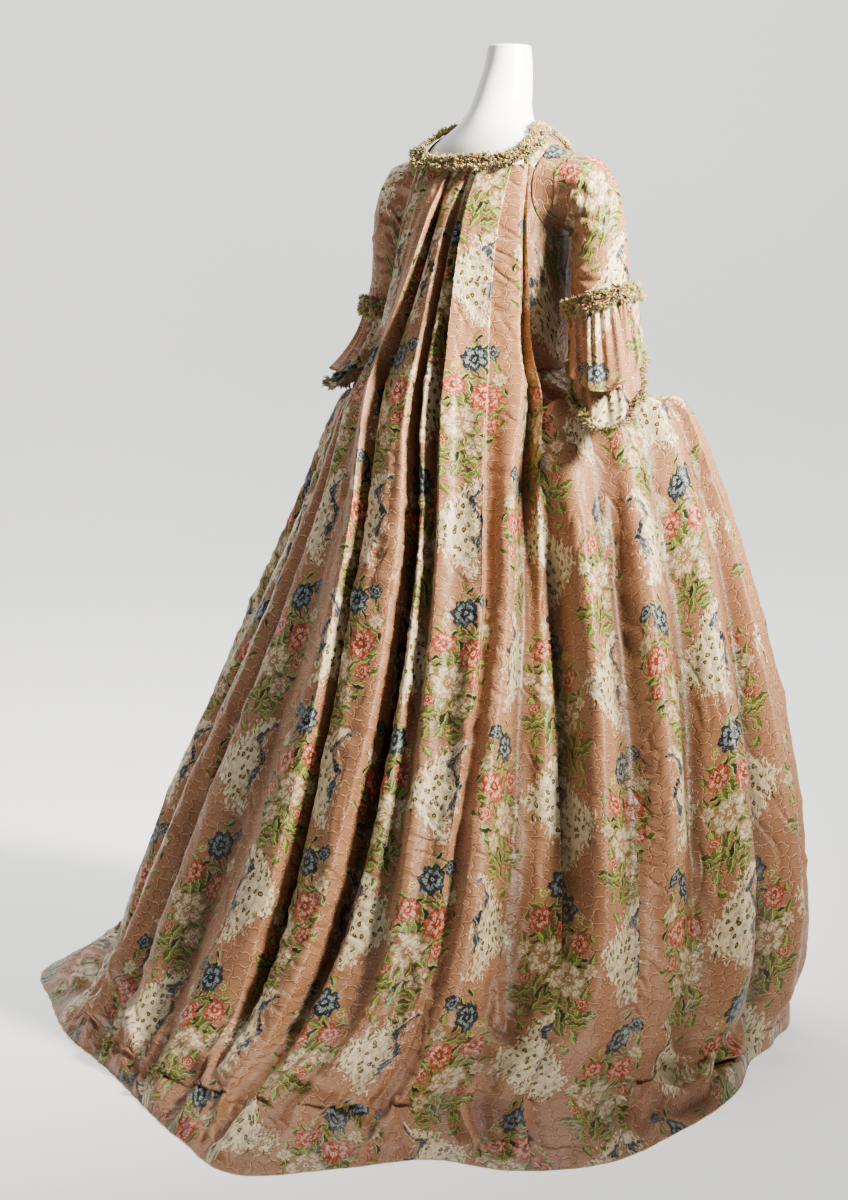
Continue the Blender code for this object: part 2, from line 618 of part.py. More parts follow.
def sleeve(side_name, side):
    """Sleeve from the armhole, lying just outside the bodice there, to the elbow."""
    turn = np.linspace(0, 2 * math.pi, 21)[:-1][None, :]
    along = np.array([0.0, 0.2, 0.4, 0.6, 0.8, 1.0])[:, None]
    along, turn = np.broadcast_arrays(along, turn)
    tube = sleeve_ring(side_name, along, turn)[0]
    middle, height, half_angle, half_height = ARMHOLE
    angle = np.radians(middle + half_angle * np.cos(turn[0]))
    level = height + half_height * np.sin(turn[0])
    head = body_point(level, angle, BODICE_OFF + WALL + LAYER_GAP)
    grid = np.concatenate([head[None], tube])
    grid = grid if side > 0 else mirrored(grid)[:, ::-1]
    wall(f"sleeve_{side_name}", grid, SILK, closed=True)


def flounce_grid(side_name, turn, rows, sizes):
    """Outer points of a flounce: rows from the cuff down, longest behind the elbow."""
    length_long, length_short, start, flare, wave = sizes
    share = np.linspace(0, 1, rows)[:, None]
    share, turn = np.broadcast_arrays(share, turn[None, :])
    behind = (1 - np.cos(turn + FLOUNCE_LONGEST)) / 2
    length = length_short + (length_long - length_short) * behind ** FLOUNCE_TAPER
    fullness = length / length_long
    ripple = wave * share * fullness * np.sin(FLOUNCE_WAVES * turn)
    ring, down, direction = sleeve_ring(side_name, np.ones(turn.shape), turn, start + ripple)
    drift = np.array(FLOUNCE_DRIFT[side_name]) * (share * fullness)[..., None]
    hang = down * (1 - PLUMB) + np.array([0.0, 0.0, -PLUMB]) + drift
    hang = hang / np.linalg.norm(hang, axis=-1, keepdims=True)
    lean = flare * share * fullness
    return ring + hang * (length * share)[..., None] + direction * lean[..., None]


FLOUNCES = {
    # side    name     long   short  start   flare   wave
    "left": (("upper", 0.110, 0.040, 0.0036, 0.014, 0.0060),
             ("lower", 0.136, 0.050, 0.0018, 0.009, 0.0050)),
    "right": (("upper", 0.150, 0.045, 0.0036, 0.014, 0.0060),
              ("lower", 0.214, 0.055, 0.0018, 0.009, 0.0050)),
}
FLOUNCE_LONGEST = math.radians(34)   # how far outside the back of the arm the tail hangs
FLOUNCE_TAPER = 1.8
PLUMB = 0.75                         # share of the hang that is straight down
FLOUNCE_DRIFT = {"left": (0.23, 0.38, 0.0), "right": (0.27, 0.44, 0.0)}   # out and back


def flounces(side_name, side):
    """Two flounces, the upper over the lower, and the fringe on the lower one's hem."""
    count = FLOUNCE_WAVES * 4
    turn = np.arange(count) * 2 * math.pi / count
    for name, *sizes in FLOUNCES[side_name]:
        grid = flounce_grid(side_name, turn, 3, sizes)
        if name == "lower":
            edge = fringe_edge(grid, side)
        grid = grid if side > 0 else mirrored(grid)[:, ::-1]
        wall(f"flounce_{name}_{side_name}", grid, SILK, closed=True)
    fringe(f"flounce_fringe_{side_name}", *edge, closed=True)


def fringe_edge(grid, side):
    """Line of a hem, the direction across the cloth there and the cloth's normal."""
    line = grid[-1]
    out = line - grid[-2]
    out = out / np.linalg.norm(out, axis=1, keepdims=True)
    wrapped = np.concatenate([grid[:, -1:], grid, grid[:, :1]], axis=1)
    normal = normals_of(wrapped)[-1, 1:-1]
    line = line - normal * WALL / 2
    if side < 0:
        line, out, normal = (mirrored(each)[::-1] for each in (line, out, normal))
    return line, out, normal


def fringe(name, line, out, normal, closed=False):
    """Backing strip along an edge, parted from it, with a lock on every other span."""
    count = len(line)
    near = line + out * FRINGE_PARTED
    far = near + out * FRINGE_BACKING
    half = FRINGE_THICK / 2
    corners = [near + normal * half, far + normal * half, far - normal * half,
               near - normal * half]
    points = [tuple(p) for p in np.concatenate(corners)]
    spans = count if closed else count - 1
    faces = []

    def corner(which, k):
        return which * count + k % count

    for k in range(spans):
        for which in range(4):
            a, b = which, (which + 1) % 4
            quad = [corner(a, k), corner(b, k), corner(b, k + 1), corner(a, k + 1)]
            if which == 1 and k % 2 == 0:
                middle = np.mean([points[i] for i in quad], axis=0)
                lean = out[k] + (LOCK_LEAN + LOCK_SPREAD * math.sin(2.4 * k)) * normal[k]
                tip = middle + lean / np.linalg.norm(lean) * FRINGE_LOCK
                points.append(tuple(tip))
                apex = len(points) - 1
                faces += [[quad[n], quad[(n + 1) % 4], apex] for n in range(4)]
            else:
                faces.append(quad)
    if not closed:
        faces.append([corner(which, 0) for which in (3, 2, 1, 0)])
        faces.append([corner(which, count - 1) for which in range(4)])
    points = np.array(points)
    add_object(name, points, turn_outward(faces, points), GOLD)


def cuff_trim(side_name, side):
    """Ruched band round the foot of the sleeve, with fringe along its lower edge."""
    count = CUFF_WAVES * 3
    turn = np.arange(count) * 2 * math.pi / count
    share = np.linspace(0, 1, 3)[:, None]
    share, turn = np.broadcast_arrays(share, turn[None, :])
    ripple = 0.0011 * np.sin(CUFF_WAVES * turn) + 0.0016 * np.sin(math.pi * share)
    along = np.ones(turn.shape)
    ring, down, _ = sleeve_ring(side_name, along, turn, CUFF_STAND + ripple)
    grid = ring + down * ((share - CUFF_ABOVE) * CUFF_WIDTH)[..., None]
    edge = fringe_edge(grid, side)
    grid = grid if side > 0 else mirrored(grid)[:, ::-1]
    wall(f"cuff_trim_{side_name}", grid, SILK, closed=True)
    fringe(f"cuff_fringe_{side_name}", *edge, closed=True)


# ---------------------------------------------------------------- neck trim
SACK_SLOPE = 0.50         # how far the pleats stand further out for each metre down


def neck_path(count):
    """Centre line of the neck trim and its up and out directions, left front to right front."""
    rows = np.array(NECKLINE, float)
    both = np.concatenate([rows[:0:-1] * [1, 1], rows * [-1, 1]])
    knots = np.arange(len(both), dtype=float)
    at = np.linspace(0, knots[-1], 400)
    angle, height = smooth(knots, both[:, 0], at), smooth(knots, both[:, 1], at)
    over_sack = np.clip((56 - np.abs(angle)) / 10, 0, 1)
    over_sack = over_sack * over_sack * (3 - 2 * over_sack)
    off = BODICE_OFF + NECK_STAND + over_sack * NECK_OVER_PLEATS
    line = body_point(height, np.radians(angle), off)
    away = line - body_point(height, np.radians(angle))
    away = away / np.linalg.norm(away, axis=1, keepdims=True)
    run = np.concatenate([[0], np.cumsum(np.linalg.norm(np.diff(line, axis=0), axis=1))])
    even = np.linspace(0, run[-1], count)
    over_sack = np.interp(even, run, over_sack)
    line, away = (np.stack([np.interp(even, run, part[:, k]) for k in range(3)], axis=1)
                  for part in (line, away))
    ahead = np.gradient(line, axis=0)
    ahead = ahead / np.linalg.norm(ahead, axis=1, keepdims=True)
    up = np.cross(ahead, away)
    up = up / np.linalg.norm(up, axis=1, keepdims=True)
    up = up + away * SACK_SLOPE * over_sack[:, None]
    return line, up, away


def neck_trim():
    """Ruched band round the neck and down the front edges, fringed on both edges."""
    count = NECK_WAVES * 3 + 1
    line, up, away = neck_path(count)
    wave = np.sin(np.arange(count) * 2 * math.pi / 3)
    rows = []
    for across, puff in ((-0.5, 0.0), (0.0, 0.0016), (0.5, 0.0)):
        lift = puff + 0.0009 * wave
        rows.append(line + up * across * NECK_TRIM_WIDTH + away * lift[:, None])
    grid = np.stack(rows)
    wall("neck_trim", grid, SILK)
    middle = away * WALL / 2
    for name, row, way in (("neck_fringe_inner", 0, -1.0), ("neck_fringe_outer", 2, 1.0)):
        fringe(name, grid[row] - middle, way * up, away)


# ---------------------------------------------------------------- petticoat and form
PETTICOAT = (
    # height half  centre  back   front
    (0.980, 0.126, 0.000, 0.088, 0.101),
    (0.968, 0.195, -0.030, 0.150, 0.110),
    (0.935, 0.268, -0.050, 0.200, 0.118),
    (0.840, 0.325, -0.055, 0.235, 0.150),
    (0.640, 0.395, -0.045, 0.290, 0.215),
    (0.420, 0.440, -0.025, 0.330, 0.255),
    (0.200, 0.458, -0.010, 0.370, 0.295),
    (0.005, 0.460, 0.000, 0.400, 0.335),
)
PETTICOAT_FOLDS = 12
WAISTBAND_GAP = 0.0001    # its first ring lies this far off the form's rounded surface


def petticoat():
    """Plain skirt under the gown, a tube from the waist to just above the floor."""
    rows = np.array(PETTICOAT)
    along = np.linspace(0, 1, len(rows))
    levels = np.array([0, 0.14, 0.30, 0.50, 0.75, 1.0])
    sizes = smooth(along, rows, levels)[:, None, :]
    angle = (np.arange(PETTICOAT_FOLDS * 3) * 2 * math.pi / (PETTICOAT_FOLDS * 3))[None, :]
    height, half, centre, back, front = (sizes[..., k] for k in range(5))
    swell = 1 + (0.010 + 0.014 * levels[:, None]) * np.cos(PETTICOAT_FOLDS * angle) * (
        levels[:, None] > 0)
    cosine = np.cos(angle)
    depth = np.where(cosine > 0, back, front)
    x = half * np.sin(angle) * swell
    y = centre + depth * cosine * swell
    grid = np.stack([x, y, np.broadcast_to(height, x.shape)], axis=-1)
    grid[0] = body_point(height[0], angle[0], WALL + WAISTBAND_GAP)
    wall("petticoat", grid[:, ::-1], TAN, closed=True)


def rings_solid(name, rings, finish):
    """Solid from closed rings of points, top to bottom, with both ends capped."""
    rows, columns = rings.shape[:2]
    points = rings.reshape(-1, 3)
    faces = []
    for row in range(rows - 1):
        for k in range(columns):
            n = (k + 1) % columns
            faces.append([row * columns + k, (row + 1) * columns + k,
                          (row + 1) * columns + n, row * columns + n])
    faces.append(list(range(columns)))
    faces.append([(rows - 1) * columns + k for k in reversed(range(columns))])
    return add_object(name, points, turn_outward(faces, points), finish)


def dress_form():
    """White torso with a neck, a pole and a flat round base."""
    angle = np.linspace(0, 2 * math.pi, 25)[:-1]
    heights = np.concatenate([np.array([FORM_TOP - 0.0005, 1.495, 1.46, 1.43, 1.41, 1.398, 1.388,
                                        1.377, 1.364, 1.348, 1.325]),
                              np.linspace(1.29, FORM_BOTTOM + 0.0005, 10)])
    rings = body_point(heights[:, None], angle[None, :])
    domed = rings[:1] * 1.0
    middle = domed.mean(axis=1, keepdims=True)
    cap = middle + (domed - middle) * 0.82
    cap[..., 2] = FORM_TOP + 0.003
    rings_solid("form_torso", np.concatenate([cap, rings]), WHITE)

    def disc(radius, height):
        return np.stack([radius * np.cos(angle), radius * np.sin(angle),
                         np.full(angle.shape, height)], axis=-1)

    pole = np.stack([disc(POLE_RADIUS, FORM_BOTTOM - SEAM),
                     disc(POLE_RADIUS, BASE_THICK + SEAM)])
    rings_solid("form_pole", pole, STEEL)
    bevel = 0.003
    base = np.stack([disc(BASE_RADIUS - bevel, BASE_THICK),
                     disc(BASE_RADIUS, BASE_THICK - bevel), disc(BASE_RADIUS, 0.0)])
    rings_solid("form_base", base, STEEL)


# ---------------------------------------------------------------- build
def clear_scene():
    for old in list(bpy.data.objects):
        bpy.data.objects.remove(old, do_unlink=True)


def main():
    clear_scene()
    dress_form()
    petticoat()
    stomacher()
    sack_back()
    hem_facing()
    for side_name, side in (("left", 1), ("right", -1)):
        side_width(f"skirt_{side_name}", side)
        bodice(f"bodice_{side_name}", side)
        strap(f"strap_{side_name}", side)
        sleeve(side_name, side)
        flounces(side_name, side)
        cuff_trim(side_name, side)
    neck_trim()


main()
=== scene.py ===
"""Looks of the robe a la francaise on its dress form.

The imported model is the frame.  Each cloth piece here is a thin sheet on its solid's own
form, worked out from the same tables at a finer step, with soft creases laid over it.  The
brocade is one node material drawn in each sheet's own flat coordinates, in metres: u across
the cloth and v down it.
"""
import functools
import json
import math

import bpy
import numpy as np
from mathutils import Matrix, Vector

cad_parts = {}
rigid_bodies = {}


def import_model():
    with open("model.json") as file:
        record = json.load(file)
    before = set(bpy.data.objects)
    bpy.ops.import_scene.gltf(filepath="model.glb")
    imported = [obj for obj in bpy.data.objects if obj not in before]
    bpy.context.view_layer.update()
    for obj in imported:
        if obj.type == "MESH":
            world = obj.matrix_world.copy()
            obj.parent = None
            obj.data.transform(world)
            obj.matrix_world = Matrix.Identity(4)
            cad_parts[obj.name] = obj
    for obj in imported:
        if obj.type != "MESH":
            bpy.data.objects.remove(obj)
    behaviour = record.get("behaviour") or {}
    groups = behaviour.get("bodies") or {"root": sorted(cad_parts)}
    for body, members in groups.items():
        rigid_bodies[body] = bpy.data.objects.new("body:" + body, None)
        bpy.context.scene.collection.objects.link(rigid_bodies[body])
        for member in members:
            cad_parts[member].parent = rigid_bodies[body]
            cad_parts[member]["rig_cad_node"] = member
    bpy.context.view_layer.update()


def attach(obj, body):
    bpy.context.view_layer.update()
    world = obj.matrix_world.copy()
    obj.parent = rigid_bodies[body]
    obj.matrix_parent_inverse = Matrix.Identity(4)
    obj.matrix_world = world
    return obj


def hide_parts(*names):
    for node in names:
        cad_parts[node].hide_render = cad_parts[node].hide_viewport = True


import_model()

# ---------------------------------------------------------------- sizes shared with the solids
FORM_TOP = 1.525
FORM_BOTTOM = 0.900
WAIST_HEIGHT = 1.020
SEAM = 0.0003
SEAM_TURN = SEAM / 2 / 0.40
WALL = 0.0012
BODICE_OFF = 0.0024

LEVELS = (
    # name     height_side _back _front  half  centre  back  front point
    ("neck",   1.335, 1.335, 1.335, 0.150, 0.000, 0.081, 0.080, 1.0),
    ("blade",  1.250, 1.250, 1.250, 0.165, 0.000, 0.125, 0.100, 1.1),
    ("back",   1.150, 1.150, 1.150, 0.180, -0.010, 0.165, 0.110, 1.2),
    ("waist",  1.040, 1.040, 1.040, 0.200, -0.030, 0.220, 0.120, 1.3),
    ("hip",    0.943, 0.943, 0.943, 0.322, -0.060, 0.300, 0.142, 1.4),
    ("flank",  0.800, 0.800, 0.800, 0.380, -0.060, 0.345, 0.190, 1.3),
    ("thigh",  0.630, 0.630, 0.630, 0.442, -0.045, 0.400, 0.240, 1.2),
    ("knee",   0.460, 0.440, 0.460, 0.494, -0.020, 0.455, 0.290, 1.1),
    ("shin",   0.250, 0.230, 0.250, 0.530, 0.000, 0.530, 0.340, 1.0),
    ("ankle",  0.115, 0.095, 0.115, 0.538, 0.020, 0.590, 0.370, 1.0),
    ("floor",  0.032, 0.016, 0.060, 0.515, 0.035, 0.655, 0.385, 1.0),
)
NECK, BACK, WAIST, HIP, THIGH, SHIN, FLOOR, HEM = 0, 2, 3, 4, 6, 8, 10, 11
SIDE_TOP = (
    ("seam",   1.020, 1.020, 1.020, 0.1284, 0.000, 0.0864, 0.1044, 1.0),
    ("shelf",  0.990, 0.990, 0.990, 0.196, -0.025, 0.165, 0.120, 1.0),
    ("brow",   0.970, 0.970, 0.970, 0.272, -0.050, 0.236, 0.128, 1.2),
)

HEM_OUTLINE = (
    # angle reach height
    (-180, 0.385, 0.038), (-150, 0.412, 0.034), (-125, 0.462, 0.026), (-107, 0.496, 0.018),
    (-92, 0.512, 0.013), (-80, 0.540, 0.009), (-66, 0.640, 0.004), (-54, 0.735, 0.004),
    (-43, 0.835, 0.004), (-35, 0.845, 0.004), (-28, 0.810, 0.004), (-20, 0.870, 0.004),
    (-13, 0.930, 0.004), (-4, 0.850, 0.004), (7, 0.765, 0.004), (20, 0.710, 0.004),
    (33, 0.705, 0.004), (50, 0.715, 0.004), (65, 0.760, 0.004), (76, 0.730, 0.004),
    (88, 0.620, 0.008), (100, 0.530, 0.016), (115, 0.482, 0.024), (140, 0.430, 0.032),
    (180, 0.385, 0.038),
)


PLEAT_HEIGHT = ((NECK, 0.0024), (1, 0.0034), (BACK, 0.0046), (WAIST, 0.0060), (HIP, 0.0050),
                (THIGH, 0.0015), (SHIN, 0.0), (HEM, 0.0))
RELIEF_SHARE = ((NECK, 0.0), (1, 0.05), (BACK, 0.20), (WAIST, 0.45), (HIP, 0.75),
                (THIGH, 1.05), (SHIN, 1.20), (9, 0.85), (FLOOR, 0.55), (HEM, 0.30))


SACK_FOLDS = (
    # name               layer relief  neck   back  waist   hip  thigh  shin   hem
    ("left_edge",          0.0,   0,   45.0,  48.0,  50.0,  44.0,  42.0,  44.0,  46.0),
    ("left_under_ridge",   1.3,  20,   41.5,  43.5,  45.0,  37.5,  35.0,  37.0,  39.0),
    ("left_under_valley",  0.2,   2,   30.5,  32.0,  36.0,  31.5,  29.5,  31.0,  33.0),
    ("left_box_outer",     3.2,  22,   33.5,  35.5,  38.5,  30.0,  25.5,  26.0,  27.0),
    ("left_box_crease",    3.2,  10,   20.0,  27.0,  32.0,  23.5,  17.0,  16.0,  16.0),
    ("left_box_inner",     3.2,  24,    6.5,  18.7,  26.6,  17.1,   7.0,   3.0,   2.0),
    ("left_gap_valley",    0.0, -14,    9.0,  20.5,  27.2,  17.0,   6.2,   1.5,   0.0),
    ("strip_a_left",       1.5,  15,    1.0,  11.5,  20.1,  13.0,   3.2,  -1.5,  -3.0),
    ("strip_a_right",      1.5,  18,   -4.5,   3.2,   2.3,  -3.5,  -9.0,  -6.5,  -7.0),
    ("centre_valley",      0.0, -22,   -6.0,  -1.5,  -2.5,  -8.5, -12.4,  -9.3,  -9.0),
    ("strip_b_left",       1.5,  20,   -8.6,  -8.1,  -8.1, -11.2, -15.0, -12.8, -12.5),
    ("strip_b_valley",     0.3,   4,  -14.5, -16.0, -17.2, -16.2, -17.2, -17.0, -17.5),
    ("right_box_left",     3.2,  24,  -11.6, -14.1, -16.2, -17.2, -19.6, -20.0, -20.5),
    ("right_box_crease",   3.2,  16,  -22.5, -23.5, -24.5, -23.0, -23.8, -22.5, -23.5),
    ("right_box_right",    3.2,  25,  -33.5, -31.7, -32.2, -28.5, -28.0, -25.3, -27.0),
    ("right_under_valley", 0.2,  10,  -30.5, -29.0, -31.0, -28.6, -28.6, -26.6, -29.0),
    ("right_under_ridge",  1.3,  24,  -41.5, -44.0, -43.8, -36.1, -32.2, -29.5, -32.0),
    ("side_trough",        0.0, -30,  -43.5, -46.5, -46.5, -39.0, -36.0, -36.5, -38.0),
    ("right_edge",         0.0,   0,  -45.0, -48.0, -49.0, -41.5, -41.0, -44.5, -46.0),
)
SACK_COLUMNS = (NECK, BACK, WAIST, HIP, THIGH, SHIN, HEM)


SIDE_FOLDS = (
    # name        tuck relief  seam    hip  thigh   shin    hem
    ("edge",       0.0,   0,  -34.0, -41.5, -41.0, -44.5, -46.0),
    ("ridge_1",    3.0,  16,  -44.0, -46.5, -46.0, -50.0, -50.0),
    ("valley_1",   0.0,  -9,  -51.0, -53.0, -53.0, -57.0, -56.0),
    ("ridge_2",    3.2,  17,  -60.0, -60.0, -60.0, -64.0, -62.0),
    ("valley_2",   0.0,  -7,  -67.0, -67.5, -67.0, -70.0, -68.0),
    ("ridge_3",    3.0,  13,  -76.0, -75.0, -74.5, -77.0, -75.0),
    ("valley_3",   0.0,  -9,  -83.0, -83.5, -82.5, -84.5, -83.0),
    ("ridge_4",    3.2,  12,  -92.0, -92.5, -91.0, -93.0, -92.0),
    ("valley_4",   0.0,  -8,  -99.0, -101., -100., -102., -101.),
    ("ridge_5",    3.0,  11, -109.0, -111., -110., -111., -110.),
    ("valley_5",   0.0,  -7, -117.0, -120., -119., -120., -120.),
    ("ridge_6",    2.6,  10, -128.0, -130., -129., -130., -130.),
    ("valley_6",   0.0,  -5, -138.0, -139., -139., -140., -141.),
    ("ridge_7",    2.2,   8, -149.0, -148., -148., -149., -150.),
    ("front_edge", 0.0,   2, -157.0, -156., -156., -158., -159.),
)
SIDE_COLUMNS = (-3, HIP, THIGH, SHIN, HEM)
SIDE_SHIFT = 2.0
UNDER_SACK = (0.014, 0.014, 0.010, 0.005)   # how far the first folds lie back under the sack
EDGE_DROP = 0.0035       # how far the seam's edge drops where it begins to run under the sack


BODY = (
    # height  half  centre   back  front
    (1.525, 0.0340, -0.046, 0.036, 0.036),
    (1.500, 0.0370, -0.044, 0.040, 0.040),
    (1.460, 0.0430, -0.034, 0.048, 0.045),
    (1.425, 0.0500, -0.022, 0.055, 0.050),
    (1.402, 0.0640, -0.013, 0.060, 0.057),
    (1.386, 0.0880, -0.009, 0.064, 0.064),
    (1.368, 0.1130, -0.006, 0.069, 0.074),
    (1.350, 0.1280, -0.005, 0.073, 0.084),
    (1.325, 0.1340, -0.004, 0.077, 0.096),
    (1.290, 0.1320, -0.002, 0.081, 0.108),
    (1.250, 0.1300, 0.000, 0.085, 0.117),
    (1.200, 0.1320, 0.000, 0.088, 0.121),
    (1.140, 0.1320, 0.000, 0.088, 0.116),
    (1.080, 0.1290, 0.000, 0.086, 0.108),
    (1.020, 0.1260, 0.000, 0.084, 0.102),
    (0.970, 0.1240, 0.000, 0.086, 0.098),
    (0.900, 0.1260, 0.000, 0.092, 0.096),
)

NECKLINE = (
    # angle height
    (0, 1.336), (25, 1.337), (42, 1.346), (58, 1.366), (74, 1.384), (90, 1.390),
    (106, 1.382), (120, 1.358), (132, 1.320), (143, 1.268), (150, 1.210),
    (155, 1.130), (160, 1.026),
)
BODICE_TOP = (
    # angle height, left side: neck seam, shoulder seam, armhole, front
    (18, 1.330), (40, 1.3335), (49, 1.334), (57, 1.322), (65, 1.296), (75, 1.264),
    (87, 1.252), (100, 1.258), (111, 1.284), (118, 1.310), (124, 1.326), (131, 1.308),
    (141, 1.260), (150, 1.204),
)
STOMACHER_PARTED = 0.22   # degrees between the stomacher and the gown's front edge
FRONT_EDGE = ((1.020, 160.0), (1.130, 155.0), (1.204, 150.5))
STRAP_FOOT = ((40, 1.3352), (50, 1.3356), (57, 1.3425), (66, 1.353), (88, 1.364), (106, 1.354),
              (117, 1.337), (124, 1.3267), (127, 1.3267))


SLEEVES = {
    "left": (
        #  x      y       z    tilt  radius
        (0.167, -0.008, 1.297, 25, 0.0500),
        (0.183, -0.009, 1.272, 44, 0.0455),
        (0.190, -0.011, 1.240, 62, 0.0440),
        (0.195, -0.015, 1.200, 76, 0.0425),
        (0.200, -0.021, 1.155, 81, 0.0440),
        (0.207, -0.028, 1.110, 82, 0.0480),
    ),
    "right": (
        (0.167, -0.008, 1.297, 25, 0.0500),
        (0.184, -0.006, 1.272, 44, 0.0460),
        (0.192, -0.002, 1.240, 62, 0.0460),
        (0.200, 0.006, 1.203, 73, 0.0455),
        (0.209, 0.016, 1.163, 76, 0.0460),
        (0.219, 0.026, 1.122, 76, 0.0480),
    ),
}
ARMHOLE = (86.0, 1.310, 36.0, 0.056)   # centre angle, centre height, half angle, half height
FLOUNCE_WAVES = 9
CUFF_WAVES = 12
NECK_WAVES = 24
CUFF_WIDTH = 0.022
NECK_TRIM_WIDTH = 0.019
CUFF_STAND = 0.0095       # height of the cuff band over the sleeve
CUFF_ABOVE = 0.80         # share of the band's width that lies above the sleeve's foot
NECK_STAND = 0.0026       # height of the neck band over the bodice
NECK_OVER_PLEATS = 0.0153   # how much more where it crosses the top of the pleats


PETTICOAT = (
    # height half  centre  back   front
    (0.980, 0.126, 0.000, 0.088, 0.101),
    (0.968, 0.195, -0.030, 0.150, 0.110),
    (0.935, 0.268, -0.050, 0.200, 0.118),
    (0.840, 0.325, -0.055, 0.235, 0.150),
    (0.640, 0.395, -0.045, 0.290, 0.215),
    (0.420, 0.440, -0.025, 0.330, 0.255),
    (0.200, 0.458, -0.010, 0.370, 0.295),
    (0.005, 0.460, 0.000, 0.400, 0.335),
)
PETTICOAT_FOLDS = 12


FLOUNCES = {
    # side    name     long   short  start   flare   wave
    "left": (("upper", 0.110, 0.040, 0.0036, 0.014, 0.0060),
             ("lower", 0.136, 0.050, 0.0018, 0.009, 0.0050)),
    "right": (("upper", 0.150, 0.045, 0.0036, 0.014, 0.0060),
              ("lower", 0.214, 0.055, 0.0018, 0.009, 0.0050)),
}
FLOUNCE_LONGEST = math.radians(34)   # how far outside the back of the arm the tail hangs
FLOUNCE_TAPER = 1.8
PLUMB = 0.75                         # share of the hang that is straight down
FLOUNCE_DRIFT = {"left": (0.23, 0.38, 0.0), "right": (0.27, 0.44, 0.0)}   # out and back


HUNG_LEVELS = [4, 4.9, 5.9, 6.9, 7.8, 8.5, 9, 9.45, 9.9, 10.4, 11]


SACK_SLOPE = 0.50         # how far the pleats stand further out for each metre down


# ---------------------------------------------------------------- form functions

def smooth(knots, values, at):
    """Value at each place of a smooth curve through the knots; values may be rows."""
    knots = np.asarray(knots, float)
    values = np.asarray(values, float)
    at = np.clip(np.asarray(at, float), knots[0], knots[-1])
    slopes = np.gradient(values, knots, axis=0)
    left = np.clip(np.searchsorted(knots, at, side="right") - 1, 0, len(knots) - 2)
    span = knots[left + 1] - knots[left]
    f = (at - knots[left]) / span
    shape = f.shape + (1,) * (values.ndim - 1)
    f, span = f.reshape(shape), span.reshape(shape)
    start, end = values[left], values[left + 1]
    return (start * (1 + 2 * f) * (1 - f) ** 2 + slopes[left] * span * f * (1 - f) ** 2
            + end * f * f * (3 - 2 * f) - slopes[left + 1] * span * f * f * (1 - f))


def table_curve(rows, at):
    """Smooth curve through a two-column table."""
    rows = np.asarray(rows, float)
    return smooth(rows[:, 0], rows[:, 1], at)


STEP = 1e-3       # step at which a surface's slope is measured


def unit(vectors):
    """The same directions at length one."""
    return vectors / np.maximum(np.linalg.norm(vectors, axis=-1, keepdims=True), 1e-12)


def eased(share):
    """A share from 0 to 1 that starts and ends gently."""
    return share * share * (3 - 2 * share)


def ellipse_ring(sizes, angle):
    """Points of rings whose sizes are height side/back/front, half, centre, back, front, point."""
    height_side, height_back, height_front, half, centre, back, front, point = (
        sizes[..., k] for k in range(8))
    sine, cosine = np.sin(angle), np.cos(angle)
    behind = cosine > 0
    power = np.where(behind, point, 1.0)
    x = half * np.sign(sine) * np.abs(sine) ** power
    y = centre + np.where(behind, back, front) * np.sign(cosine) * np.abs(cosine) ** power
    z = height_side + (np.where(behind, height_back, height_front) - height_side) * cosine ** 2
    return np.stack([x, y, z], axis=-1)


def gown_ring(level, angle):
    """Point of the gown's base surface; level runs from NECK to FLOOR and on to HEM."""
    level, angle = np.broadcast_arrays(np.asarray(level, float), np.asarray(angle, float))
    sizes = np.array([row[1:] for row in LEVELS])
    at = smooth(np.arange(len(sizes)), sizes, np.minimum(level, FLOOR))
    return towards_hem(ellipse_ring(at, angle), level)


def side_ring(level, angle):
    """The same surface for the side widths: above the hip it runs in to the waist seam."""
    level, angle = np.broadcast_arrays(np.asarray(level, float), np.asarray(angle, float))
    sizes = np.array([row[1:] for row in SIDE_TOP + LEVELS[HIP:]])
    knots = np.concatenate([[-3, 0, 2.4], np.arange(HIP, FLOOR + 1)])
    at = smooth(knots, sizes, np.minimum(level, FLOOR))
    return towards_hem(ellipse_ring(at, angle), level)


def towards_hem(point, level):
    """Past the floor ring, run out along the ground to the cut edge."""
    hem = np.array(HEM_OUTLINE)
    direction = np.degrees(np.arctan2(point[..., 0], point[..., 1]))
    reach = smooth(hem[:, 0], hem[:, 1], direction)
    height = np.interp(direction, hem[:, 0], hem[:, 2])
    turn = np.radians(direction)
    edge = np.stack([reach * np.sin(turn), reach * np.cos(turn), height], axis=-1)
    share = np.clip(level - FLOOR, 0.0, 1.0)[..., None]
    return point + (edge - point) * share


def normals_of(grid):
    """Unit normals of a grid of points, rows down and columns across."""
    return unit(np.cross(np.gradient(grid, axis=0), np.gradient(grid, axis=1)))


def surface_normal(surface, down, angle):
    """Unit normal of a surface that is a function of a place down it and an angle round it."""
    along = surface(down + STEP, angle) - surface(down - STEP, angle)
    round_ = surface(down, angle + STEP) - surface(down, angle - STEP)
    return unit(np.cross(round_, along))


def mirrored(points):
    """The same points on the other side of the figure."""
    return points * np.array([-1.0, 1.0, 1.0])


def relief_at(rows, layer_column, relief_column, levels, layer_table):
    """How far each fold line stands off the base surface at each level."""
    layer = np.array([row[layer_column] for row in rows])
    relief = np.array([row[relief_column] for row in rows]) / 1000.0
    pleat = table_curve(layer_table, levels)[:, None] * layer
    share = table_curve(RELIEF_SHARE, levels)[:, None]
    ground = np.clip((FLOOR - levels) / 2.0, 0.0, 1.0)[:, None]
    hanging = np.where(relief < 0, relief * ground, relief)
    return pleat + share * hanging


def fold_angles(rows, first, columns, levels):
    """Angle of each fold line at each level, in radians."""
    table = np.array([row[first:] for row in rows]).T
    return np.radians(smooth(columns, table, levels))


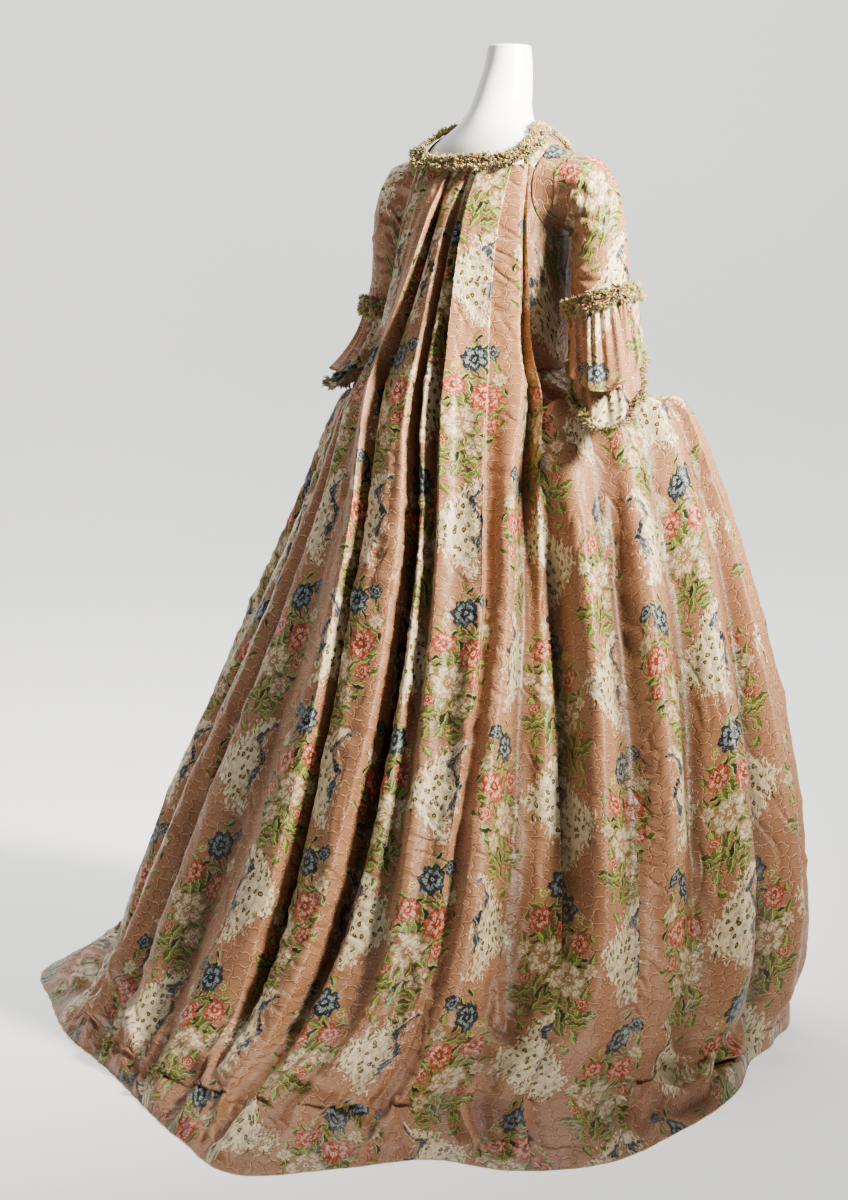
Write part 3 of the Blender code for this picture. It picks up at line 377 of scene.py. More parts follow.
def seam_angle(side, levels):
    """Angle of the seam between the sack back and a side width, from the hip down."""
    row = SACK_FOLDS[0] if side > 0 else SACK_FOLDS[-1]
    return np.radians(smooth(SACK_COLUMNS, row[3:], levels))


def body_point(height, angle, off=0.0):
    """Point of the torso's surface at a height and angle, moved out by off."""
    rows = np.array(BODY)[::-1]
    height, angle = np.broadcast_arrays(np.asarray(height, float), np.asarray(angle, float))

    def surface(at_height, at_angle):
        sizes = smooth(rows[:, 0], rows[:, 1:], at_height)
        half, centre, back, front = (sizes[..., k] for k in range(4))
        cosine = np.cos(at_angle)
        y = centre + np.where(cosine > 0, back, front) * cosine
        return np.stack([half * np.sin(at_angle), y, at_height], axis=-1)

    outward = -surface_normal(surface, height, angle)
    return surface(height, angle) + outward * np.asarray(off, float)[..., None]


def sleeve_ring(side_name, along, turn, extra=0.0):
    """Point of a sleeve's surface; along is 0 at the shoulder and 1 at the elbow.

    turn is 0 at the front of the arm, 90 degrees outside, 180 behind and 270 inside.
    Also gives the direction down the arm and the direction out from its middle.
    """
    rings = np.array(SLEEVES[side_name])
    at = smooth(np.linspace(0, 1, len(rings)), rings, along)
    tilt = np.radians(at[..., 3])[..., None]
    down = unit(np.concatenate([np.cos(tilt), -0.06 * np.ones_like(tilt), -np.sin(tilt)], axis=-1))
    front = unit(np.array([0.0, -1.0, 0.0]) + down * down[..., 1:2])
    out = np.cross(front, down)
    out = out * np.sign(out[..., 2:3])
    direction = front * np.cos(turn)[..., None] + out * np.sin(turn)[..., None]
    reach = at[..., 4] + extra
    return at[..., :3] + direction * reach[..., None], down, direction


def flounce_grid(side_name, turn, rows, sizes):
    """Outer points of a flounce: rows from the cuff down, longest behind the elbow."""
    length_long, length_short, start, flare, wave = sizes
    share = np.linspace(0, 1, rows)[:, None]
    share, turn = np.broadcast_arrays(share, turn[None, :])
    behind = (1 - np.cos(turn + FLOUNCE_LONGEST)) / 2
    length = length_short + (length_long - length_short) * behind ** FLOUNCE_TAPER
    fullness = length / length_long
    ripple = wave * share * fullness * np.sin(FLOUNCE_WAVES * turn)
    ring, down, direction = sleeve_ring(side_name, np.ones(turn.shape), turn, start + ripple)
    drift = np.array(FLOUNCE_DRIFT[side_name]) * (share * fullness)[..., None]
    hang = unit(down * (1 - PLUMB) + np.array([0.0, 0.0, -PLUMB]) + drift)
    lean = flare * share * fullness
    return ring + hang * (length * share)[..., None] + direction * lean[..., None]


def neck_path(count):
    """Centre line of the neck trim and its up and out directions, left front to right front."""
    rows = np.array(NECKLINE, float)
    both = np.concatenate([rows[:0:-1] * [1, 1], rows * [-1, 1]])
    knots = np.arange(len(both), dtype=float)
    at = np.linspace(0, knots[-1], 400)
    angle, height = smooth(knots, both[:, 0], at), smooth(knots, both[:, 1], at)
    over_sack = eased(np.clip((66 - np.abs(angle)) / 24, 0, 1))
    off = BODICE_OFF + NECK_STAND + over_sack * NECK_OVER_PLEATS
    line = body_point(height, np.radians(angle), off)
    away = unit(line - body_point(height, np.radians(angle)))
    run = np.concatenate([[0], np.cumsum(np.linalg.norm(np.diff(line, axis=0), axis=1))])
    even = np.linspace(0, run[-1], count)
    over_sack = np.interp(even, run, over_sack)
    line, away = (np.stack([np.interp(even, run, part[:, k]) for k in range(3)], axis=1)
                  for part in (line, away))
    up = unit(np.cross(unit(np.gradient(line, axis=0)), away))
    return line, up + away * SACK_SLOPE * over_sack[:, None], away


# ---------------------------------------------------------------- sheets
UV_NAME = "cloth"
PAINTED_SHADE_NAME = "painted_shade"      # painted shade: 1 deep in a fold, 0 in the open
HOLLOW_DEPTH = 0.022      # a trough this deep gets the full painted shade
# share of the full painted shade that the troughs between folds get
HOLLOW_SHADE = 0.75


LATTICE = (97, 89)        # cells down and across before the random heights repeat


def cloth_noise(across, down, cell, seed):
    """Smooth random heights over the cloth, one cell wide, from -1 to 1."""
    rows, columns = LATTICE
    table = np.random.default_rng(seed).uniform(-1.0, 1.0, LATTICE)
    x, y = across / cell + 31.0, down / cell + 17.0
    column, row = np.floor(x).astype(int), np.floor(y).astype(int)
    fx, fy = eased(x - column), eased(y - row)

    def at(i, j):
        return table[(row + i) % rows, (column + j) % columns]

    top = at(0, 0) * (1 - fx) + at(0, 1) * fx
    low = at(1, 0) * (1 - fx) + at(1, 1) * fx
    return top * (1 - fy) + low * fy


def arc_lengths(grid):
    """Distance across each row and down each column, in metres."""
    across = np.linalg.norm(np.diff(grid, axis=1), axis=2)
    down = np.linalg.norm(np.diff(grid, axis=0), axis=2)
    across = np.concatenate([np.zeros((len(grid), 1)), np.cumsum(across, axis=1)], axis=1)
    down = np.concatenate([np.zeros((1, grid.shape[1])), np.cumsum(down, axis=0)], axis=0)
    return across, down


def creases(across, down, table):
    """Height of listed creases.

    Each row of the table is start across, start down, end across, end down, half width,
    height (a trough if negative) and how far its middle bows to one side, in metres.
    """
    height = np.zeros(across.shape)
    for x0, y0, x1, y1, width, rise, bow in table:
        run = math.hypot(x1 - x0, y1 - y0)
        ux, uy = (x1 - x0) / run, (y1 - y0) / run
        along = ((across - x0) * ux + (down - y0) * uy) / run
        inside = np.clip(along, 0.0, 1.0)
        aside = (across - x0) * uy - (down - y0) * ux - bow * 4 * inside * (1 - inside)
        beyond = (along - inside) * run / (2 * width)
        fade = np.minimum(1.0, 3.2 * np.sqrt(inside * (1 - inside)) + 0.15)
        shape = np.exp(-(aside / width) ** 2) - 0.45 * np.exp(-(aside / (2.1 * width)) ** 2)
        height += rise * fade * shape * np.exp(-beyond ** 2)
    return height


LARGE_RIDGE, SMALL_RIDGE, CROSS_RIDGE = 0.0038, 0.0016, 0.0026     # heights in metres
RIDGE_FOOT = 0.0014       # by which the cloth between the ridges is let down


def crumple(across, down, seed):
    """Thin soft ridges such as stiff silk keeps once it has been folded."""
    bend = 0.012 * cloth_noise(across, down, 0.05, seed + 5)
    large = cloth_noise(across + bend, down * 0.8, 0.052, seed)
    small = cloth_noise(across - bend, down, 0.023, seed + 1)
    cross = cloth_noise(across * 0.36 + 3 * bend, down + 0.4 * across, 0.021, seed + 3)
    patch = 0.5 + 0.5 * cloth_noise(across, down, 0.17, seed + 2)
    other = 0.5 + 0.5 * cloth_noise(across, down, 0.14, seed + 4)
    ridges, fine, waves = (np.maximum(0, 1 - narrow * np.abs(field)) ** 2
                           for narrow, field in ((2.4, large), (2.2, small), (2.0, cross)))
    return (LARGE_RIDGE * patch * ridges + SMALL_RIDGE * patch * fine + CROSS_RIDGE * other * waves
            - RIDGE_FOOT)


PUCKER_STEP = 0.024       # from one pucker of a seam to the next
PUCKER_REACH = 0.038


def puckers(across, down, column, start, end, seed, height=0.0022):
    """Short uneven wrinkles that run out on both sides of a seam."""
    aside = np.abs(across - across[:, column:column + 1])
    wander = cloth_noise(across, down, 0.045, seed)
    run = np.sin(2 * math.pi * (down + 0.25 * aside) / PUCKER_STEP + 3.2 * wander)
    span = np.clip((down - start) / 0.06, 0, 1) * np.clip((end - down) / 0.06, 0, 1)
    uneven = np.clip(0.55 + 0.9 * cloth_noise(across * 0.4, down, 0.07, seed + 1), 0, 1.3)
    fade = np.exp(-(aside / PUCKER_REACH) ** 1.3) * np.minimum(1, aside / 0.006)
    return height * run * span * uneven * fade


# Depth that the pleats' hidden gaps gain over the solids' plain form, and how much painted
# shade the cloth gets there.
GAPS = (
    # fold line, level, span in levels, height, painted shade
    (6, 2.4, 3.2, -0.014, 0.95),
    (9, 2.2, 2.6, -0.008, 0.65),
    (11, 3.0, 3.0, -0.006, 0.60),
    (5, 3.0, 2.6, 0.003, 0.0),
    (17, 3.4, 2.6, -0.010, 0.70),
    (12, 2.2, 3.0, 0.002, 0.0),
    (15, 2.4, 2.4, -0.004, 0.20),
    (2, 3.0, 2.6, -0.006, 0.90),
)


def gap_share(levels, at_level, span):
    """How much of a gap's depth shows at each level."""
    return np.exp(-((levels - at_level) / span) ** 2) * np.minimum(1, levels)


# Troughs and swells shared by neighbouring widths, so that their seams still meet.
# centre angle and level, half width in degrees, half span in levels, height
SHARED_FOLDS = (
    (-42.0, 6.6, 3.6, 3.2, -0.042), (-36.0, 9.6, 3.6, 1.3, -0.012), (-49.0, 6.4, 3.2, 2.6, 0.014),
    (-56.0, 5.6, 2.4, 1.8, -0.012), (-59.0, 8.4, 4.0, 2.4, 0.012), (-66.5, 8.2, 3.6, 2.6, -0.022),
    (-75.0, 8.6, 4.0, 2.0, 0.014), (-84.0, 7.8, 3.2, 2.4, -0.017), (-92.5, 8.6, 3.4, 1.8, 0.010),
    (-101.0, 7.8, 4.0, 2.2, -0.009), (-119.0, 7.4, 4.0, 2.0, -0.007), (-12.4, 7.2, 2.2, 2.2, -0.012),
    (-24.0, 8.4, 2.0, 1.8, -0.007), (-18.5, 9.4, 2.6, 1.4, 0.009), (-5.0, 9.6, 2.4, 1.4, 0.010),
    (1.5, 8.6, 2.4, 1.8, -0.012), (9.0, 9.2, 3.2, 1.6, 0.012), (16.5, 8.8, 2.4, 1.8, -0.011),
    (23.0, 9.6, 3.0, 1.3, 0.010), (31.0, 8.6, 2.6, 2.0, -0.011), (38.0, 9.4, 3.0, 1.4, 0.010),
    (45.0, 7.6, 3.4, 2.4, -0.014), (53.0, 8.6, 3.4, 1.8, 0.008), (64.0, 7.6, 3.6, 2.2, -0.011),
    (76.0, 8.0, 4.0, 2.2, 0.008), (88.0, 7.4, 3.6, 2.2, -0.010), (104.0, 7.8, 4.0, 2.0, -0.009),
)


# Ridges that run out over the floor to the train's edge.
# angle, start level, half width in degrees, height, how far it turns on its way out
TRAIN_RIDGES = (
    (-56.0, 9.3, 2.0, 0.012, -3.0),
    (-47.0, 9.0, 1.6, 0.020, 3.0),
    (-38.5, 9.4, 1.3, 0.017, -4.0),
    (-31.0, 8.8, 1.6, 0.024, 3.0),
    (-22.0, 9.5, 1.1, 0.016, -4.5),
    (-15.0, 9.0, 1.5, 0.026, 3.5),
    (-7.0, 9.4, 1.1, 0.017, -3.0),
    (0.5, 8.9, 1.5, 0.026, -4.5),
    (8.5, 9.5, 1.2, 0.018, 4.0),
    (15.5, 8.9, 1.6, 0.027, -4.0),
    (24.0, 9.3, 1.2, 0.018, 4.5),
    (31.0, 9.0, 1.6, 0.025, -3.0),
    (40.0, 9.4, 1.3, 0.018, 4.5),
    (48.0, 9.0, 1.8, 0.020, -3.0),
    (58.0, 9.4, 2.0, 0.012, 3.0),
)


def train_ridges(level, angle):
    """Height of the ridges on the floor part of the cloth, lower towards its edge."""
    degrees = np.degrees(angle)
    height = np.zeros(level.shape)
    for centre, start, half, rise, turn in TRAIN_RIDGES:
        run = np.clip((level - start) / (HEM - start), 0, 1)
        aside = degrees - centre - turn * run ** 2 - 0.5 * np.sin(7 * run + centre)
        slope = np.where(aside * turn > 0, 0.62, 1.0)
        shape = np.exp(-(aside / (half * slope)) ** 2) - 0.35 * np.exp(-(aside / (2.4 * half)) ** 2)
        height += rise * shape * np.clip((level - start) / 0.7, 0, 1) * (1.0 - 0.62 * run ** 2)
    return height


SWEEP_LEVELS = (7.0, 8.0, 9.0, 9.5, 10.0)
SWEEP_SHARE = (0.0, 0.03, 0.13, 0.26, 0.45)     # of the way out to the train's edge
SWEEP_RISE = 0.11         # height of its foot as a share of the train's width on the floor


def swept(point, level):
    """Lays the foot of the cloth further out, so that it runs on to the floor in a sweep."""
    hem = np.array(HEM_OUTLINE)
    turn = np.arctan2(point[..., 0], point[..., 1])
    reach = np.hypot(point[..., 0], point[..., 1])
    spare = np.maximum(smooth(hem[:, 0], hem[:, 1], np.degrees(turn)) - reach, 0.0)
    out = spare * np.interp(level, SWEEP_LEVELS, SWEEP_SHARE)
    rise = SWEEP_RISE * spare * np.interp(level, (8.2, 9.2, 10.0, 10.6, 11.0), (0, 0.5, 1, 0.6, 0))
    return point + np.stack([out * np.sin(turn), out * np.cos(turn), rise], axis=-1)


def shared_folds(level, angle):
    """Height of the shared folds at a place; they fade out at the hip and the hem."""
    degrees = np.degrees(angle)
    height = np.zeros(level.shape)
    for centre, at, half, span, rise in SHARED_FOLDS:
        sway = centre + 1.2 * np.sin(1.3 * level + centre)
        height += rise * np.exp(-((degrees - sway) / half) ** 2 - ((level - at) / span) ** 2)
    height = height * np.clip((level - HIP) / 1.5, 0, 1) * np.clip((HEM + 0.6 - level) / 0.8, 0, 1)
    return height + train_ridges(level, angle)


def at_place(chart, levels, angles, level, degrees):
    """Chart position of a place given by its level and its angle."""
    row = int(np.argmin(np.abs(levels - level)))
    column = int(np.argmin(np.abs(np.degrees(angles[row]) - degrees)))
    return chart[0][row, column], chart[1][row, column]


def placed(chart, levels, angles, table):
    """Crease table with its ends turned from level and angle into metres."""
    rows = []
    for level0, turn0, level1, turn1, width, rise, bow in table:
        x0, y0 = at_place(chart, levels, angles, level0, turn0)
        x1, y1 = at_place(chart, levels, angles, level1, turn1)
        if math.hypot(x1 - x0, y1 - y0) > 0.01:
            rows.append((x0, y0, x1, y1, width, rise, bow))
    return rows


def grid_faces(rows, columns, closed):
    """Quads of a grid of points, wrapped round if it is closed."""
    spans = columns if closed else columns - 1
    r, c = np.meshgrid(np.arange(rows - 1), np.arange(spans), indexing="ij")
    n = (c + 1) % columns
    corners = (r * columns + c, r * columns + n, (r + 1) * columns + n, (r + 1) * columns + c)
    return np.stack(corners, axis=-1).reshape(-1, 4).tolist()


def put_in_scene(name, data):
    """Object of a mesh, a light or the camera."""
    made = bpy.data.objects.new(name, data)
    bpy.context.scene.collection.objects.link(made)
    return made


def make_mesh(name, points, faces, finish, corner_uv=None, flat_faces=0):
    """Smooth object from points and faces; the last few faces may be flat ones."""
    mesh = bpy.data.meshes.new(name)
    mesh.from_pydata(np.reshape(points, (-1, 3)).tolist(), [], faces)
    if corner_uv is not None:
        layer = mesh.uv_layers.new(name=UV_NAME)
        layer.data.foreach_set("uv", np.asarray(corner_uv, np.float32).reshape(-1))
    curved = [True] * (len(faces) - flat_faces) + [False] * flat_faces
    mesh.polygons.foreach_set("use_smooth", curved)
    mesh.materials.append(finish)
    mesh.update()
    return put_in_scene(name, mesh)


def hollows(height, reach):
    """How far each place lies below the mean of its row within a reach in columns."""
    padded = np.pad(height, ((0, 0), (reach, reach + 1)), mode="edge")
    total = np.cumsum(padded, axis=1)
    mean = (total[:, 2 * reach + 1:] - total[:, :-2 * reach - 1]) / (2 * reach + 1)
    mean = mean[:, :height.shape[1]]
    return np.clip((mean - height) / HOLLOW_DEPTH, 0.0, 1.0)


def mark_painted_shade(obj, share):
    """Stores how much painted shade each point gets, most deep in a fold; the silk there is painted
    darker.
    """
    layer = obj.data.attributes.new(PAINTED_SHADE_NAME, "FLOAT", "POINT")
    layer.data.foreach_set("value", np.clip(share, 0.0, 1.0).astype(np.float32).reshape(-1))


def corner_table(u_near, u_far, v):
    """Flat coordinate of each corner of each quad; near and far are its two sides."""
    corners = ((u_near[:-1], v[:-1, :-1]), (u_far[:-1], v[:-1, 1:]),
               (u_far[1:], v[1:, 1:]), (u_near[1:], v[1:, :-1]))
    return np.stack([np.stack(pair, axis=-1) for pair in corners], axis=2).reshape(-1, 2)


def strip_coordinates(across, cuts, reference_row, u_start):
    """Flat u at the two sides of each quad, for cloth folded away at the cut columns.

    At the reference row it runs on without a break; elsewhere each strip keeps its own
    middle, and what it lacks in width is hidden in the folds on either side.
    """
    columns = across.shape[1]
    edges = [0] + list(cuts) + [columns - 1]
    near = np.zeros((across.shape[0], columns - 1))
    far = near.copy()
    for first, last in zip(edges[:-1], edges[1:]):
        middle = (first + last) // 2
        centre = u_start + across[reference_row, middle]
        part = across[:, first:last + 1] - across[:, middle:middle + 1] + centre
        near[:, first:last] = part[:, :-1]
        far[:, first:last] = part[:, 1:]
    return near, far


def sheet(name, grid, finish, u_start=0.0, v_start=0.0, inward=False, closed=False):
    """A piece of cloth, flat or a tube, with its flat coordinates."""
    across, down = arc_lengths(np.concatenate([grid, grid[:, :1]], axis=1) if closed else grid)
    if closed:
        u = u_start + np.broadcast_to(across[len(across) // 2], across.shape)
    else:
        u = u_start + across - across[:, -1:] / 2
    table = corner_table(u[:, :-1], u[:, 1:], v_start + down)
    made = make_mesh(name, grid, grid_faces(*grid.shape[:2], closed), finish, table)
    if inward:
        made.data.flip_normals()
    return made


def pleated_sheet(name, grid, chart, hidden, reference, u_start, finish):
    """A pleated width whose cloth goes out of sight at the hidden columns."""
    near, far = strip_coordinates(chart[0], hidden, reference, u_start)
    table = corner_table(near, far, chart[1])
    return make_mesh(name, grid, grid_faces(*grid.shape[:2], False), finish, table)


def tube_outward(grid):
    """Normals of a tube's points turned outward, and 1 or -1 for the way its faces look."""
    out = normals_of(np.concatenate([grid[:, -1:], grid, grid[:, :1]], axis=1))[:, 1:-1]
    facing = np.sign(np.sum(out * (grid - grid.mean(axis=1, keepdims=True)), axis=-1).mean())
    return out * facing, facing


def thickened(obj, thick=0.0009):
    """Gives a small sheet its real thickness, inwards from its face."""
    modifier = obj.modifiers.new("thickness", "SOLIDIFY")
    modifier.thickness = thick
    modifier.offset = -1.0
    return obj


# ---------------------------------------------------------------- gown back and skirts
SACK_PER_FOLD = 14
SACK_ROWS = 262
SKIRT_PER_FOLD = 12
SKIRT_ROWS = 220
HIDDEN_FOLDS = (2, 6, 9, 11, 15, 17)     # fold lines where the sack's cloth goes out of sight
SACK_U_START = 0.02
SACK_REFERENCE, SKIRT_REFERENCE = 9.2, 9.6      # levels where the pattern runs on unbroken
SEAM_CALM = 0.03          # creases die away over this width beside a seam
SEAM_OVERLAP = 0.004      # turn in radians by which the back laps over the sides
SEAM_STEP = 0.0009        # and how far it lies over them
GROUND_CLEAR = 0.0034     # the least height of the train's cloth over the floor
HEM_ROLL = ((0.0034, 0.25), (0.0030, 0.60), (0.0020, 0.85), (0.0009, 1.0))   # height, share


def hem_rolled(grid):
    """Keeps the cloth off the floor and rolls its last rows down to it."""
    grid[..., 2] = np.maximum(grid[..., 2], GROUND_CLEAR)
    for back, (height, share) in enumerate(reversed(HEM_ROLL), 1):
        grid[-back, :, 2] += share * (height - grid[-back, :, 2])
    return grid


def fold_columns(values, per_fold, round_share):
    """Samples between fold lines: straight where the share is 0, rounded where it is 1."""
    share = np.linspace(0, 1, per_fold + 1)[:-1]
    low, high = values[:, :-1, None], values[:, 1:, None]
    bend = share - round_share[:, None, None] * np.sin(2 * math.pi * share) / (2 * math.pi)
    inner = (low + (high - low) * bend).reshape(len(values), -1)
    return np.concatenate([inner, values[:, -1:]], axis=1)


def hung_cloth(ring, levels, angle, lift):
    """Points of the cloth before its creases, and how far it stands off the rings."""
    level = np.broadcast_to(levels[:, None], angle.shape)
    lift = lift + shared_folds(level, angle)
    normal = surface_normal(ring, level, angle)
    return swept(ring(level, angle), level) + normal * lift[..., None], lift


SACK_CREASES = (
    # level angle  level angle   width  height  bow
    (1.2, 28, 3.4, 33, 0.006, -0.0022, 0.004), (0.6, 24, 2.6, 29, 0.005, 0.0016, -0.003),
    (0.4, 12, 2.0, 22, 0.007, -0.0020, 0.006), (2.4, 30, 4.4, 27, 0.008, 0.0026, 0.005),
    (3.2, 24, 5.2, 20, 0.009, -0.0030, -0.006), (4.6, 22, 6.6, 13, 0.012, 0.0040, 0.010),
    (5.0, 38, 6.9, 36, 0.011, -0.0036, 0.008), (4.2, 41, 5.6, 40, 0.009, 0.0028, -0.006),
    (5.8, 29, 7.4, 27, 0.010, 0.0034, -0.008), (6.4, 20, 8.2, 12, 0.014, -0.0046, 0.012),
    (7.0, 34, 8.8, 35, 0.014, 0.0044, 0.010), (7.4, 24, 9.4, 22, 0.013, 0.0042, -0.014),
    (8.2, 38, 9.9, 41, 0.015, -0.0048, 0.012), (8.8, 15, 10.3, 14, 0.012, 0.0044, -0.010),
    (0.8, 6, 2.6, 8, 0.006, -0.0014, 0.004), (2.2, 12, 4.2, 6, 0.007, 0.0022, 0.003),
    (3.6, 4, 5.6, -2, 0.009, -0.0028, 0.007), (5.2, 2, 7.2, -3, 0.012, 0.0036, -0.008),
    (6.8, -1, 8.8, -4, 0.013, -0.0040, 0.010), (8.0, 5, 9.6, 5, 0.016, 0.0046, 0.012),
    (9.0, -3, 10.6, -5, 0.013, 0.0040, -0.012), (1.0, -18, 2.8, -20, 0.006, 0.0014, 0.003),
    (2.0, -27, 3.8, -27, 0.007, -0.0018, -0.003), (3.4, -20, 5.4, -20, 0.008, 0.0020, 0.005),
    (4.4, -26, 6.2, -26, 0.009, -0.0022, 0.004), (5.6, -14, 7.6, -14, 0.011, 0.0030, -0.006),
    (6.6, -25, 8.4, -25, 0.012, -0.0032, 0.007), (7.6, -11, 9.4, -12, 0.012, 0.0038, 0.008),
    (8.4, -22, 10.0, -23, 0.013, 0.0040, -0.010), (9.2, -16, 10.6, -17, 0.012, -0.0036, 0.008),
    (2.6, -42, 4.0, -38, 0.007, 0.0022, 0.004), (4.0, -38, 5.8, -35, 0.009, -0.0028, -0.006),
    (5.4, -33, 7.2, -31, 0.010, 0.0030, 0.007), (6.8, -38, 8.6, -38, 0.012, -0.0036, 0.008),
    (8.0, -33, 9.8, -35, 0.013, 0.0044, -0.011), (9.0, -40, 10.5, -41, 0.014, -0.0038, 0.010),
    # wrinkles that run across the train
    (9.2, 30, 9.9, 18, 0.012, 0.0090, 0.012), (9.7, 42, 10.4, 27, 0.014, 0.0110, -0.014),
    (10.1, 20, 10.6, 5, 0.012, 0.0095, 0.014), (9.5, 8, 10.1, -4, 0.012, 0.0085, 0.012),
    (10.2, -2, 10.7, -14, 0.012, 0.0095, -0.012), (9.6, -14, 10.2, -28, 0.013, 0.0095, 0.014),
    (10.0, -26, 10.6, -40, 0.013, 0.0090, -0.012), (8.8, 44, 9.5, 33, 0.012, 0.0075, 0.010),
    (8.9, -30, 9.4, -42, 0.012, 0.0070, 0.010), (10.5, 44, 10.8, 33, 0.011, 0.0080, 0.010),
    (10.6, 15, 10.8, 26, 0.010, 0.0070, -0.010), (8.3, 18, 8.9, 27, 0.010, 0.0060, 0.012),
    (8.0, -20, 8.7, -27, 0.010, 0.0060, 0.010), (7.2, 30, 7.8, 37, 0.009, 0.0050, -0.009),
    (6.4, 6, 6.9, 14, 0.008, -0.0044, 0.008), (7.6, -6, 8.2, 3, 0.010, -0.0056, -0.010),
)


def sack_lines(levels):
    """Angles, stand-off and painted shade of the back's fold lines at each level."""
    angle = fold_angles(SACK_FOLDS, 3, SACK_COLUMNS, levels)
    angle[:, 0] += SEAM_OVERLAP
    angle[:, -1] -= SEAM_OVERLAP
    lift = relief_at(SACK_FOLDS, 1, 2, levels, PLEAT_HEIGHT)
    lift[:, [0, -1]] += SEAM_STEP
    painted_shade_share = np.zeros(lift.shape)
    for line, at_level, span, deeper, gap_shade in GAPS:
        lift[:, line] += deeper * gap_share(levels, at_level, span)
        painted_shade_share[:, line] = gap_shade * gap_share(levels, at_level, span)
    return angle, lift, painted_shade_share


def sack_back(finish):
    """The pleated back from the neck seam to the end of the train."""
    levels = np.linspace(0, HEM, SACK_ROWS)
    round_share = np.interp(levels, (0, 2.0, 5.0, 8.0), (0.25, 0.45, 0.85, 1.0))
    angle, lift, painted_shade_share = sack_lines(levels)
    angle = fold_columns(angle, SACK_PER_FOLD, np.zeros(len(levels)))
    lift = fold_columns(lift, SACK_PER_FOLD, round_share)
    painted_shade_share = fold_columns(painted_shade_share, SACK_PER_FOLD, round_share)
    plain, lift = hung_cloth(gown_ring, levels, angle, lift)
    across, down = arc_lengths(plain)
    middle = across.shape[1] // 2
    chart = across - across[:, middle:middle + 1], down
    height = creases(*chart, placed(chart, levels, angle, SACK_CREASES))
    height += 0.0010 * cloth_noise(*chart, 0.085, 3)
    loose = np.interp(levels, (0, 2, 6, 9), (0.25, 0.5, 0.8, 1.2))[:, None]
    height += loose * crumple(*chart, 31)
    for line, seed in ((8, 61), (13, 62), (4, 63)):
        height += puckers(across, down, line * SACK_PER_FOLD, 0.55, 1.65, seed, 0.0012)
    calm = np.interp(levels, (0, 0.5, 10.3, 11), (0.15, 1.0, 1.0, 0.55))[:, None]
    edge = np.minimum(1.0, np.minimum(across, across[:, -1:] - across) / SEAM_CALM)
    grid = hem_rolled(plain + normals_of(plain) * (height * calm * edge)[..., None])
    cuts = [line * SACK_PER_FOLD for line in HIDDEN_FOLDS]
    reference = int(np.argmin(np.abs(levels - SACK_REFERENCE)))
    made = pleated_sheet("sack_back_cloth", grid, (across, down), cuts, reference, SACK_U_START, finish)
    # Painted shade in the pleats' hidden gaps and in the troughs between the folds.
    painted_shade_share = np.maximum(painted_shade_share ** 1.5, HOLLOW_SHADE * hollows(lift + height, SACK_PER_FOLD))
    mark_painted_shade(made, painted_shade_share)
    return made


